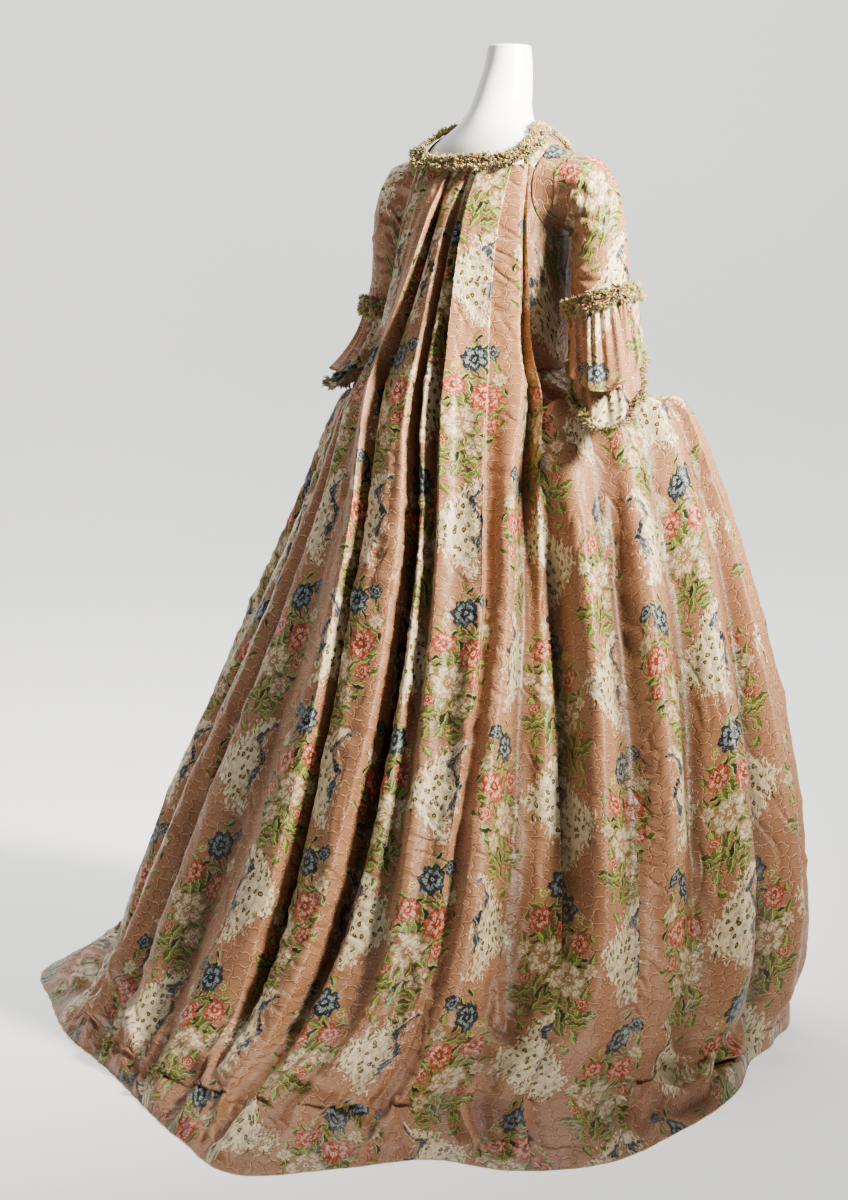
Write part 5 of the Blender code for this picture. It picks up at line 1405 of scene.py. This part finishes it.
for short, operation in (("mad", "MULTIPLY_ADD"), ("mul", "MULTIPLY"), ("sub", "SUBTRACT"),
                         ("plus", "ADD"), ("sine", "SINE"), ("size", "ABSOLUTE"),
                         ("most", "MAXIMUM"), ("least", "MINIMUM"), ("div", "DIVIDE"),
                         ("floor", "FLOOR"), ("below", "LESS_THAN"), ("wrap", "WRAP"),
                         ("modulo", "FLOORED_MODULO")):
    setattr(Graph, short, functools.partialmethod(Graph.math, operation))


def new_finish(name):
    """A material, ways to add nodes to it, and its shader."""
    made = bpy.data.materials.new(name)
    made.use_nodes = True
    shader = made.node_tree.nodes["Principled BSDF"]
    return made, Graph(made.node_tree), shader


def set_relief(graph, shader, height, strength=1.0):
    """Small relief, from a height in metres."""
    bump = graph.add("ShaderNodeBump", {"Height": height, "Distance": 1.0, "Strength": strength})
    graph.put(shader.inputs["Normal"], bump.outputs[0])


# Colours, linear.
SALMON = (0.262, 0.120, 0.058)
SALMON_PALE = (0.306, 0.150, 0.075)
SALMON_HIGHLIGHT = (0.470, 0.262, 0.150)
SALMON_DARK = (0.140, 0.050, 0.022)
PAINTED_SHADE_COLOUR = (0.028, 0.013, 0.007)      # painted shade, laid over the cloth in deep folds and under the arms
CREAM = (0.570, 0.485, 0.310)
CORAL = (0.200, 0.020, 0.009)
CORAL_LIGHT = (0.350, 0.086, 0.046)
NAVY = (0.006, 0.009, 0.014)
BLUE = (0.024, 0.035, 0.047)
PALE_BLUE = (0.230, 0.260, 0.265)
LEAF = (0.058, 0.074, 0.010)
LEAF_LIGHT = (0.300, 0.305, 0.075)
LEAF_DARK = (0.010, 0.016, 0.004)
RIB = (0.340, 0.330, 0.105)
GOLD = (0.330, 0.215, 0.030)
BROWN = (0.040, 0.029, 0.006)

# The repeat: columns of cells, each a half drop from the next and turned over.
CELL_WIDTH = 0.124
CELL_HEIGHT = 0.400

FLOWERS = (
    # x       y      size  kind (outer, inner and heart colours below)
    (-0.008, -0.082, 0.0235, 0),
    (0.023, -0.101, 0.0125, 0),
    (0.034, -0.056, 0.0125, 3),
    (0.020, -0.020, 0.0250, 1),
    (-0.032, -0.034, 0.0195, 1),
    (-0.010, 0.024, 0.0285, 2),
    (0.038, 0.022, 0.0130, 1),
    (-0.046, 0.010, 0.0115, 3),
    (0.020, 0.062, 0.0150, 2),
    (-0.036, -0.070, 0.0095, 4),
    (-0.032, 0.056, 0.0100, 1),
)
OUTER = (NAVY, CORAL, (0.230, 0.135, 0.060), (0.260, 0.170, 0.080), (0.210, 0.120, 0.020))
LOBE = (BLUE, CORAL_LIGHT, CREAM, CREAM, GOLD)
INNER = (PALE_BLUE, (0.560, 0.360, 0.220), CREAM, CREAM, CREAM)
HEART = (NAVY, CORAL, CORAL, BROWN, CORAL)
SPRAYS = (
    # cells a metre, half length, half width, centre x, centre y, half zone x, half zone y, shift
    (61.0, 0.0100, 0.0054, -0.002, -0.006, 0.060, 0.126, 0.31),
    (45.0, 0.0132, 0.0074, -0.004, 0.046, 0.056, 0.090, 1.77),
)
LEAF_COLOURS = (LEAF, (0.100, 0.130, 0.016), LEAF_DARK, (0.070, 0.092, 0.009))
HAND_DRAWN = 0.0011       # metres by which the pattern's lines waver
SILK_ROUGHNESS = 0.40
INDEX_STEP = 0.001        # how far along Z a motif's vector is set off to carry its number


def nearest_of(graph, candidates):
    """The candidate whose own coordinates lie nearest its middle, and how far that is."""
    best = best_far = None
    for local in candidates:
        far = graph.vector("LENGTH", local)
        if best is None:
            best, best_far = local, far
            continue
        closer = graph.below(far, best_far)
        best = graph.pick(closer, best, local)
        best_far = graph.least(far, best_far)
    return best, best_far


def nearest_flower(graph, spot):
    """Kind of the nearest flower, the turn about it, and how far out by its own size."""
    candidates = []
    for x, y, size, kind in FLOWERS:
        scale = (1 / size, 1 / size, 0.0)
        shift = (-x / size, -y / size, kind * INDEX_STEP)
        candidates.append(graph.vector("MULTIPLY_ADD", spot, scale, shift))
    local, far = nearest_of(graph, candidates)
    x, y, index = graph.parts(local)
    kind = graph.math("ROUND", graph.div(index, INDEX_STEP))
    return kind, graph.math("ARCTAN2", y, x), far


def flower_layer(graph, spot, stitch):
    """Flowers of the bouquet: colour and mask."""
    kind, turn, far = nearest_flower(graph, spot)
    ragged = graph.mad(stitch, 0.36, -0.18)
    wave = graph.size(graph.sine(graph.mul(turn, 3.5)))
    edge = graph.mad(wave, 0.24, graph.mad(ragged, 0.35, 0.74))
    reach = graph.div(far, edge)
    mask = graph.ease(reach, 1.06, 0.96)
    inner_wave = graph.size(graph.sine(graph.mad(turn, 2.5, 0.8)))
    ring = graph.plus(graph.mad(inner_wave, -0.18, far), ragged)
    outer_colour = graph.palette(kind, OUTER)
    inner_colour = graph.palette(kind, INNER)
    strokes = graph.sine(graph.mad(turn, 24.0, graph.mul(far, 5.0)))
    strokes = graph.ease(strokes, -0.2, 0.7)
    lobe = graph.mul(graph.ease(wave, 0.26, 0.60), graph.ease(reach, 0.97, 0.80))
    lobe = graph.mul(lobe, graph.mad(strokes, 0.45, 0.55))
    colour = graph.over(lobe, outer_colour, graph.palette(kind, LOBE))
    streak = graph.mul(graph.ease(stitch, 0.54, 0.66), graph.ease(wave, 0.45, 0.85))
    colour = graph.over(graph.mul(streak, 0.60), colour, inner_colour)
    colour = graph.over(graph.ease(ring, 0.56, 0.50), colour, outer_colour)
    petals = graph.mul(graph.ease(ring, 0.50, 0.44), graph.ease(inner_wave, 0.16, 0.36))
    petals = graph.mul(petals, graph.mad(strokes, 0.60, 0.40))
    colour = graph.over(petals, colour, inner_colour)
    colour = graph.over(graph.ease(ring, 0.26, 0.20), colour, outer_colour)
    colour = graph.over(graph.ease(far, 0.15, 0.10), colour, inner_colour)
    colour = graph.over(graph.ease(far, 0.08, 0.05), colour, graph.palette(kind, HEART))
    return colour, mask


def nearest_leaf(graph, spot, spray):
    """Place along and across the nearest leaf, whether it grows, and its two chances."""
    cells, half_length, half_width, middle_x, middle_y, zone_x, zone_y, shift = spray
    moved = graph.vector("ADD", spot, (shift, shift, 0.0))
    net = graph.add("ShaderNodeTexVoronoi", {"Vector": moved, "Scale": cells, "Randomness": 0.75},
                    voronoi_dimensions="2D")
    seat = net.outputs["Position"]
    chance, other, third = graph.parts(net.outputs["Color"])
    local = graph.vector("SUBTRACT", moved, seat)
    away = graph.vector("SUBTRACT", seat, (middle_x + shift, middle_y + shift, 0.0))
    share = graph.vector("LENGTH", graph.vector("MULTIPLY", away, (1 / zone_x, 1 / zone_y, 0.0)))
    grows = graph.below(share, graph.mad(chance, 0.45, 0.68))
    twist = graph.combine(graph.sub(other, 0.5), graph.sub(third, 0.5))
    away = graph.vector("NORMALIZE", graph.vector("MULTIPLY", away, (1.0, 1.0, 0.0)))
    away = graph.vector("NORMALIZE", graph.vector("MULTIPLY_ADD", twist, (2.1, 2.1, 0.0), away))
    ahead_x, ahead_y, _ = graph.parts(away)
    x, y, _ = graph.parts(local)
    along = graph.mad(x, ahead_x, graph.mul(y, ahead_y))
    cross = graph.sub(graph.mul(x, ahead_y), graph.mul(y, ahead_x))
    return graph.mul(along, 1 / half_length), graph.mul(cross, 1 / half_width), grows, other, third


def leaf_layer(graph, spot, spray):
    """Leaves that point away from the bouquet's middle, one to a cell of a Voronoi net."""
    a, b, grows, other, third = nearest_leaf(graph, spot, spray)
    aside = graph.size(b)
    tooth = graph.math("FRACT", graph.mad(a, 2.6, graph.mul(aside, -0.5)))
    full = graph.sub(1.0, graph.mul(a, a))
    full = graph.mul(full, graph.mad(tooth, -0.34, 1.12))
    gap = graph.sub(aside, full)
    mask = graph.mul(graph.ease(gap, 0.10, -0.06), grows)
    colour = graph.palette(graph.floor(graph.mul(third, 4.0)), LEAF_COLOURS)
    lit = graph.mul(graph.ease(b, -0.10, 0.30), graph.mad(other, 0.5, 0.4))
    colour = graph.over(lit, colour, LEAF_LIGHT)
    veins = graph.sine(graph.mad(a, 15.0, graph.mul(aside, -7.0)))
    colour = graph.over(graph.mul(graph.ease(veins, 0.3, 1.0), 0.50), colour, LEAF_DARK)
    colour = graph.over(graph.mul(graph.ease(gap, -0.34, -0.02), 0.80), colour, LEAF_DARK)
    colour = graph.over(graph.ease(aside, 0.15, 0.04), colour, RIB)
    return colour, mask


FUR_MIDDLE = 0.188        # where down the cell the fur's middle lies
FUR_HALF = 0.078
FUR_WIDE = 0.029
FUR_SHADE = (0.270, 0.180, 0.090)


def fur_colour(graph, spot, feather, gap):
    """Cream fur with brown spots that are gold in the middle."""
    stretched = graph.vector("MULTIPLY", spot, (1.0, 0.78, 1.0))
    cells = graph.add("ShaderNodeTexVoronoi",
                      {"Vector": stretched, "Scale": 78.0, "Randomness": 0.9},
                      voronoi_dimensions="2D")
    spots = cells.outputs["Distance"]
    inside = graph.ease(gap, -0.006, -0.011)
    dots = graph.mul(graph.ease(spots, 0.27, 0.20), inside)
    colour = graph.over(graph.mul(graph.ease(feather, 0.42, 0.62), 0.55), CREAM, FUR_SHADE)
    colour = graph.over(dots, colour, BROWN)
    return graph.over(graph.mul(graph.ease(spots, 0.10, 0.06), inside), colour, GOLD)


def plume_layer(graph, down, share, aside, half, feather):
    """The shaded plume: colour and mask."""
    wind = graph.sine(graph.mul(down, 104.0))
    track = graph.plus(graph.sub(aside, half), graph.mul(wind, 0.0060))
    thick = graph.mad(graph.size(wind), 0.0050, 0.0012)
    ragged = graph.mad(feather, 0.020, -0.010)
    plume = graph.plus(graph.sub(graph.size(track), thick), ragged)
    plume = graph.ease(plume, 0.0010, -0.0010)
    reach = graph.size(graph.plus(share, 0.22))
    plume = graph.mul(plume, graph.ease(reach, 0.74, 0.66))
    slant = graph.mad(aside, 620.0, graph.mul(down, 500.0))
    stripe = graph.mul(graph.ease(graph.sine(slant), 0.2, 0.9), graph.ease(feather, 0.35, 0.75))
    band = graph.over(graph.ease(wind, -0.9, 0.4), NAVY, BLUE)
    return graph.over(stripe, band, PALE_BLUE), plume


def fur_layer(graph, x, y, spot, feather):
    """A crescent of spotted fur with a shaded plume wound along part of its edge."""
    down = graph.wrap(graph.sub(y, FUR_MIDDLE), CELL_HEIGHT / 2, -CELL_HEIGHT / 2)
    share = graph.div(down, FUR_HALF)
    square = graph.mul(share, share)
    bow = graph.mad(square, 0.034, -0.012)
    bow = graph.mad(share, -0.016, bow)
    full = graph.math("SQRT", graph.most(graph.sub(1.0, square), 0.0))
    swing = graph.sine(graph.mad(down, 58.0, 1.2))
    half = graph.mul(full, graph.mad(swing, 0.011, FUR_WIDE))
    aside = graph.sub(x, bow)
    tuft = graph.mad(feather, 0.096, -0.048)
    gap = graph.sub(graph.plus(graph.size(aside), tuft), half)
    mask = graph.mul(graph.ease(gap, 0.003, -0.003), graph.ease(full, 0.02, 0.2))
    colour = fur_colour(graph, spot, feather, gap)
    band, plume = plume_layer(graph, down, share, aside, half, feather)
    colour = graph.over(plume, colour, band)
    return colour, graph.most(mask, plume)


def vine_layer(graph, x, y):
    """A thin stem that wanders down the column, with small leaves on both sides."""
    sway = graph.sine(graph.mad(y, 2 * math.pi / CELL_HEIGHT, 0.9))
    aside = graph.sub(x, graph.mul(sway, 0.052))
    stem = graph.ease(graph.size(aside), 0.0016, 0.0008)
    step = 0.030
    local = graph.wrap(y, step / 2, -step / 2)
    side = graph.math("SIGN", aside)
    lean = graph.mad(side, 0.009, local)
    out = graph.sub(graph.size(aside), 0.0085)
    along = graph.plus(graph.mul(out, 0.8), graph.mul(lean, -0.6))
    cross = graph.plus(graph.mul(out, 0.6), graph.mul(lean, 0.8))
    shape = graph.vector("LENGTH", graph.combine(graph.mul(along, 100.0), graph.mul(cross, 250.0)))
    leaf = graph.ease(shape, 1.0, 0.85)
    colour = graph.over(graph.ease(cross, 0.0, 0.002), LEAF, LEAF_LIGHT)
    colour = graph.over(stem, colour, LEAF_DARK)
    grows = graph.ease(graph.sine(graph.mad(y, 4 * math.pi / CELL_HEIGHT, 2.4)), -0.25, 0.05)
    return colour, graph.mul(graph.most(stem, leaf), grows)


def ground_layer(graph, spot):
    """Net of wavy staggered cells woven in the ground's own colour, drawn as a line of painted
    highlight with a line of painted shadow beside it.
    """
    wide, tall = 0.021, 0.019
    u, v, _ = graph.parts(spot)
    column = graph.floor(graph.div(u, wide))
    drop = graph.mad(graph.modulo(column, 2.0), tall / 2, v)
    b = graph.div(graph.wrap(drop, tall, 0.0), tall)
    a = graph.sub(graph.div(u, wide), column)
    upright = graph.mad(graph.sine(graph.mul(v, 2 * math.pi / tall)), 0.13, a)
    upright = graph.sub(upright, 0.14)
    level = graph.mad(graph.sine(graph.mul(a, math.pi)), 0.16, b)
    level = graph.sub(level, 0.20)
    lit = graph.most(graph.ease(graph.size(upright), 0.060, 0.02),
                     graph.ease(graph.size(level), 0.060, 0.02))
    off_up = graph.size(graph.sub(upright, 0.09))
    off_level = graph.size(graph.sub(level, 0.09))
    shaded = graph.most(graph.ease(off_up, 0.085, 0.03), graph.ease(off_level, 0.085, 0.03))
    return lit, shaded


def weave(graph, spot):
    """Height of the woven threads: fine ribs across the cloth and faint slubs."""
    ribs = graph.sine(graph.mul(graph.parts(spot)[1], 2 * math.pi / 0.0011))
    slub, _ = graph.noise(graph.vector("MULTIPLY", spot, (130.0, 700.0, 1.0)), 1.0, 0.0)
    return ribs, slub


def wrinkles(graph, spot, slow):
    """Height of the small soft wrinkles of handled silk, some across and some aslant."""
    u, v, _ = graph.parts(spot)
    lean = graph.combine(graph.mad(v, 9.0, graph.mul(u, 13.0)), graph.mad(u, -12.0, graph.mul(v, 27.0)))
    across, _ = graph.noise(lean, 1.0, 1.0, 0.35)
    aslant, _ = graph.noise(graph.vector("MULTIPLY", spot, (29.0, 12.0, 1.0)), 1.0, 0.0)
    first = graph.ease(graph.size(graph.sub(across, 0.5)), 0.11, 0.0)
    second = graph.ease(graph.size(graph.sub(aslant, 0.5)), 0.10, 0.0)
    first = graph.mul(first, graph.ease(slow, 0.42, 0.66))
    second = graph.mul(second, graph.ease(slow, 0.56, 0.36))
    return graph.mad(first, 0.0016, graph.mul(second, 0.0014))


def unsteady(graph, flat):
    """Flat coordinates with the small unevenness of a hand-drawn pattern."""
    u, v, _ = graph.parts(flat)
    ripple = graph.sine(graph.mad(v, 390.0, graph.mul(u, 150.0)))
    sway = graph.sine(graph.mad(u, 470.0, graph.mul(v, -170.0)))
    return graph.combine(graph.mad(ripple, HAND_DRAWN, u), graph.mad(sway, HAND_DRAWN, v))


def brocade(name, start, plain=False):
    """Silk brocade drawn in the cloth's own flat coordinates; plain has the ground alone."""
    made, graph, shader = new_finish(name)
    flat = graph.add("ShaderNodeUVMap", uv_map=UV_NAME).outputs[0]
    flat = graph.vector("ADD", flat, (start, start, 0.0))
    spot = unsteady(graph, flat)
    line, below = ground_layer(graph, spot)
    ribs, slub = weave(graph, flat)
    slow, _ = graph.noise(flat, 4.0, 0.0)
    colour = graph.over(graph.ease(slow, 0.3, 0.7), SALMON, SALMON_PALE)
    colour = graph.over(graph.mul(slub, 0.30), colour, SALMON_DARK)
    # Painted shadow beside each line of the woven net, then a painted highlight along the line.
    colour = graph.over(graph.mul(below, 0.62), colour, SALMON_DARK)
    colour = graph.over(graph.mul(line, graph.ease(slub, 0.30, 0.62)), colour, SALMON_HIGHLIGHT)
    if not plain:
        colour, mask = figured(graph, spot, colour)
        graph.put(shader.inputs["Roughness"], graph.mad(mask, -0.08, SILK_ROUGHNESS))
    else:
        shader.inputs["Roughness"].default_value = SILK_ROUGHNESS
    # Painted shade: the cloth is darkened in deep folds and under the arms by the stored attribute.
    painted_shade = graph.add("ShaderNodeAttribute", attribute_name=PAINTED_SHADE_NAME).outputs["Fac"]
    colour = graph.over(painted_shade, colour, PAINTED_SHADE_COLOUR)
    graph.put(shader.inputs["Base Color"], colour)
    shader.inputs["Specular IOR Level"].default_value = 0.27
    shader.inputs["Sheen Weight"].default_value = 0.04
    shader.inputs["Sheen Roughness"].default_value = 0.4
    shader.inputs["Sheen Tint"].default_value = (1.0, 0.80, 0.66, 1.0)
    raised = graph.mad(below, -0.00016, graph.mul(line, 0.00030))
    height = graph.mad(ribs, 0.00004, raised)
    height = graph.mad(slub, 0.00034, height)
    if not plain:
        height = graph.plus(height, wrinkles(graph, flat, slow))
    set_relief(graph, shader, height)
    return made


def figured(graph, spot, ground):
    """The brocaded figures over the ground: colour and where they are."""
    u, v, _ = graph.parts(spot)
    meander = graph.sine(graph.mul(v, 2 * math.pi / CELL_HEIGHT))
    u = graph.mad(meander, 0.012, u)
    column = graph.floor(graph.div(u, CELL_WIDTH))
    odd = graph.modulo(column, 2.0)
    x = graph.wrap(u, CELL_WIDTH, 0.0)
    x = graph.sub(x, CELL_WIDTH / 2)
    x = graph.mul(x, graph.mad(odd, -2.0, 1.0))
    y = graph.mad(odd, CELL_HEIGHT / 2, v)
    y = graph.wrap(y, CELL_HEIGHT / 2, -CELL_HEIGHT / 2)
    place = graph.combine(x, y)
    feather, _ = graph.noise(graph.vector("MULTIPLY", spot, (210.0, 90.0, 1.0)), 1.0, 1.0, 0.75)
    colour, total = ground, None
    layers = (vine_layer(graph, x, y), fur_layer(graph, x, y, spot, feather),
              leaf_layer(graph, place, SPRAYS[0]), leaf_layer(graph, place, SPRAYS[1]),
              flower_layer(graph, place, feather))
    for top, mask in layers:
        colour = graph.over(mask, colour, top)
        total = mask if total is None else graph.most(total, mask)
    return colour, total


def fringe_silk():
    """Floss silk in the gown's gold, greens and creams, one shade to a tuft."""
    made, graph, shader = new_finish("fringe_silk")
    flat = graph.add("ShaderNodeUVMap", uv_map=UV_NAME).outputs[0]
    shade, tone, _ = graph.parts(flat)
    yellow, pale, olive = (0.400, 0.300, 0.034), (0.430, 0.350, 0.165), (0.130, 0.124, 0.016)
    tan = (0.170, 0.098, 0.024)
    shades = (GOLD, LEAF_LIGHT, yellow, pale, LEAF, GOLD, tan, CORAL_LIGHT, olive, yellow, LEAF_LIGHT,
              pale, tan, GOLD, olive, tan)
    index = graph.floor(graph.mul(shade, float(len(shades))))
    colour = graph.palette(index, shades)
    colour = graph.over(graph.mul(tone, 0.4), colour, (0.10, 0.075, 0.015))
    graph.put(shader.inputs["Base Color"], colour)
    shader.inputs["Roughness"].default_value = 0.50
    shader.inputs["Sheen Weight"].default_value = 0.3
    return made


def plain_silk():
    """Plain tan lining silk with a fine rib."""
    made, graph, shader = new_finish("plain_silk")
    flat = graph.add("ShaderNodeUVMap", uv_map=UV_NAME).outputs[0]
    ribs, slub = weave(graph, flat)
    slow, _ = graph.noise(flat, 9.0, 3.0)
    colour = graph.over(slow, (0.36, 0.215, 0.095), (0.44, 0.28, 0.135))
    colour = graph.over(graph.mul(slub, 0.3), colour, (0.20, 0.11, 0.045))
    graph.put(shader.inputs["Base Color"], colour)
    shader.inputs["Roughness"].default_value = 0.62
    height = graph.mad(slub, 0.00015, graph.mul(ribs, 0.00005))
    set_relief(graph, shader, height, 0.7)
    return made


def painted_form():
    """White gloss paint with the faintest unevenness."""
    made, graph, shader = new_finish("painted_form")
    place = graph.add("ShaderNodeTexCoord").outputs["Object"]
    slow, _ = graph.noise(place, 6.0, 3.0)
    fine, _ = graph.noise(place, 160.0, 2.0)
    graph.put(shader.inputs["Base Color"], graph.over(slow, (0.88, 0.88, 0.87), (0.92, 0.92, 0.91)))
    shader.inputs["Roughness"].default_value = 0.32
    set_relief(graph, shader, graph.mul(fine, 0.0001), 0.5)
    return made


def stand_metal():
    """Brushed grey metal of the pole and base."""
    made, graph, shader = new_finish("stand_metal")
    place = graph.add("ShaderNodeTexCoord").outputs["Object"]
    grain, _ = graph.noise(graph.vector("MULTIPLY", place, (300.0, 300.0, 8.0)), 1.0, 3.0)
    graph.put(shader.inputs["Base Color"], graph.over(grain, (0.30, 0.30, 0.31), (0.42, 0.42, 0.43)))
    graph.put(shader.inputs["Roughness"], graph.mad(grain, 0.2, 0.28))
    shader.inputs["Metallic"].default_value = 1.0
    return made


BACKDROP_GLOW = 0.49      # kept under one half, so that the paper is not sampled as a lamp


def backdrop_paint():
    """Pale matt paper with a painted glow of its own, brighter towards the floor."""
    made, graph, shader = new_finish("backdrop_paint")
    place = graph.add("ShaderNodeTexCoord").outputs["Object"]
    slow, _ = graph.noise(place, 0.6, 2.0)
    graph.put(shader.inputs["Base Color"], graph.over(slow, (0.70, 0.70, 0.69), (0.75, 0.75, 0.74)))
    shader.inputs["Roughness"].default_value = 0.9
    # Painted light: the paper glows, brighter at the floor than up the backdrop.
    above = graph.ease(graph.parts(place)[2], 0.0, 0.9)
    glow = graph.over(above, (1.4082, 1.3941, 1.3659), (1.0702, 1.0561, 1.0280))
    graph.put(shader.inputs["Emission Color"], glow)
    shader.inputs["Emission Strength"].default_value = BACKDROP_GLOW
    return made


# ---------------------------------------------------------------- camera, light and stage
CAMERA_AT = Vector((-2.205, 3.339, 1.150))
LOOK_AT = Vector((0.0893, 0.0625, 0.647))
LENS = 74.94
FLOOR_END = 6.8       # metres past the dress, where the floor begins to curve up
COVE = 1.8            # radius of that curve
COVE_STEPS = 24
FLOOR_BEHIND, BACKDROP_TOP, BACKDROP_HALF = 9.0, 7.0, 12.0
# name, place, aim, size in metres, watts, colour and spread in degrees
LIGHTS = (
    ("key", (-2.45, 0.00, 2.47), (-0.1, 0.0, 1.89), (0.5, 0.5), 228, (1.0, 0.925, 0.77), 77.0),
    ("fill", (1.4, 4.6, 2.8), (0.0, 0.2, 1.2), (2.0, 2.0), 22, (0.97, 0.98, 1.0)),
    ("backdrop", (1.3, -1.8, 5.6), (3.0, -4.3, 0.3), (4.0, 3.0), 640, (1.0, 0.99, 0.97)),
)


def aim(obj, at):
    """Turns a light or the camera to look at a place."""
    obj.rotation_mode = "QUATERNION"
    obj.rotation_quaternion = (Vector(at) - obj.location).to_track_quat("-Z", "Y")


def camera():
    """The photograph's own view."""
    data = bpy.data.cameras.new("camera")
    data.lens = LENS
    data.sensor_width = 36.0
    made = put_in_scene("camera", data)
    made.location = CAMERA_AT
    aim(made, LOOK_AT)
    bpy.context.scene.camera = made


def area_light(name, at, target, size, power, colour, spread=180.0):
    """A rectangular lamp."""
    data = bpy.data.lights.new(name, "AREA")
    data.spread = math.radians(spread)
    data.shape = "RECTANGLE"
    data.size, data.size_y = size
    data.energy = power
    data.color = colour
    made = put_in_scene(name, data)
    made.location = at
    aim(made, target)


def stage_set(finish):
    """Pale floor that curves up into a backdrop."""
    forward = (LOOK_AT - CAMERA_AT)
    forward.z = 0
    forward.normalize()
    right = forward.cross(Vector((0, 0, 1)))
    profile = [(-FLOOR_BEHIND, 0.0)]
    profile += [(FLOOR_END + COVE * math.sin(t), COVE * (1 - math.cos(t)))
                for t in np.linspace(0, math.pi / 2, COVE_STEPS)]
    profile.append((FLOOR_END + COVE, BACKDROP_TOP))
    points = []
    for ahead, height in profile:
        for way in (-BACKDROP_HALF, BACKDROP_HALF):
            spot = forward * ahead + right * way
            points.append((spot.x, spot.y, height))
    faces = [[a, a + 1, a + 3, a + 2] for a in range(0, 2 * len(profile) - 2, 2)]
    make_mesh("backdrop", points, faces, finish)


def lighting():
    """Faint light from all round and the lamps."""
    world = bpy.data.worlds.new("world")
    world.use_nodes = True
    background = world.node_tree.nodes["Background"]
    background.inputs["Color"].default_value = (0.93, 0.95, 1.0, 1)
    background.inputs["Strength"].default_value = 0.10
    bpy.context.scene.world = world
    for light in LIGHTS:
        area_light(*light)


def settle(obj, node_name):
    """Puts a piece on the frame in place of its solid, if it has one."""
    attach(obj, "root")
    if node_name:
        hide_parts(node_name)
    return obj


def settle_sheet(obj, kind, side_name=None, fringe=()):
    """Puts a cloth on the frame in place of the solid it was cut from.

    Its fringe is given as pairs: a row of threads, and the node it replaces or None.
    """
    settle(obj, f"{kind}_{side_name}" if side_name else kind)
    for threads, node_name in fringe:
        settle(threads, node_name)


def dress_side(side_name, side, silk, trim_silk, thread):
    """The pieces of the gown's left or right half."""
    settle_sheet(skirt_side(f"skirt_{side_name}_cloth", side, silk), "skirt", side_name)
    settle_sheet(bodice(f"bodice_{side_name}_cloth", side, silk), "bodice", side_name)
    settle_sheet(strap(f"strap_{side_name}_cloth", side, silk), "strap", side_name)
    settle_sheet(sleeve(side_name, side, silk), "sleeve", side_name)
    for name, *sizes in FLOUNCES[side_name]:
        frill, edge = flounce(side_name, side, name, sizes, silk)
        settle(frill, f"flounce_{name}_{side_name}")
    threads = tufted_edge(f"flounce_fringe_{side_name}_threads", edge, thread, True, 0.0165, 0.0030,
                          seed=73 + side)
    settle(threads, f"flounce_fringe_{side_name}")
    band, lower, upper, middle = cuff(side_name, side, trim_silk, thread)
    fringe = (lower, f"cuff_fringe_{side_name}"), (upper, None), (middle, None)
    settle_sheet(band, "cuff_trim", side_name, fringe=fringe)


def dress(silk, trim_silk, thread, lining):
    """All the cloth and its trimmings."""
    settle_sheet(sack_back(silk), "sack_back")
    settle_sheet(petticoat(lining), "petticoat")
    settle_sheet(hem_facing(lining), "hem_facing")
    settle_sheet(stomacher(silk), "stomacher")
    for side_name, side in (("left", 1), ("right", -1)):
        dress_side(side_name, side, silk, trim_silk, thread)
    band, inner, outer, middle = neck(trim_silk, thread)
    fringe = (inner, "neck_fringe_inner"), (outer, "neck_fringe_outer"), (middle, None)
    settle_sheet(band, "neck_trim", fringe=fringe)


def stand():
    """The torso's own skin, and metal on the pole and base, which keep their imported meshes."""
    settle(form_torso(painted_form()), "form_torso")
    steel = stand_metal()
    for name in ("form_pole", "form_base"):
        node = next(o for o in bpy.data.objects if o.get("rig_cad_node") == name or o.name == name)
        node.data.materials.clear()
        node.data.materials.append(steel)


def main():
    """The whole picture: the dress, its form and stand, and the stage round them."""
    dress(brocade("brocade", 0.0), brocade("trim_silk", 0.4, plain=True), fringe_silk(), plain_silk())
    stand()
    stage_set(backdrop_paint())
    camera()
    lighting()


main()
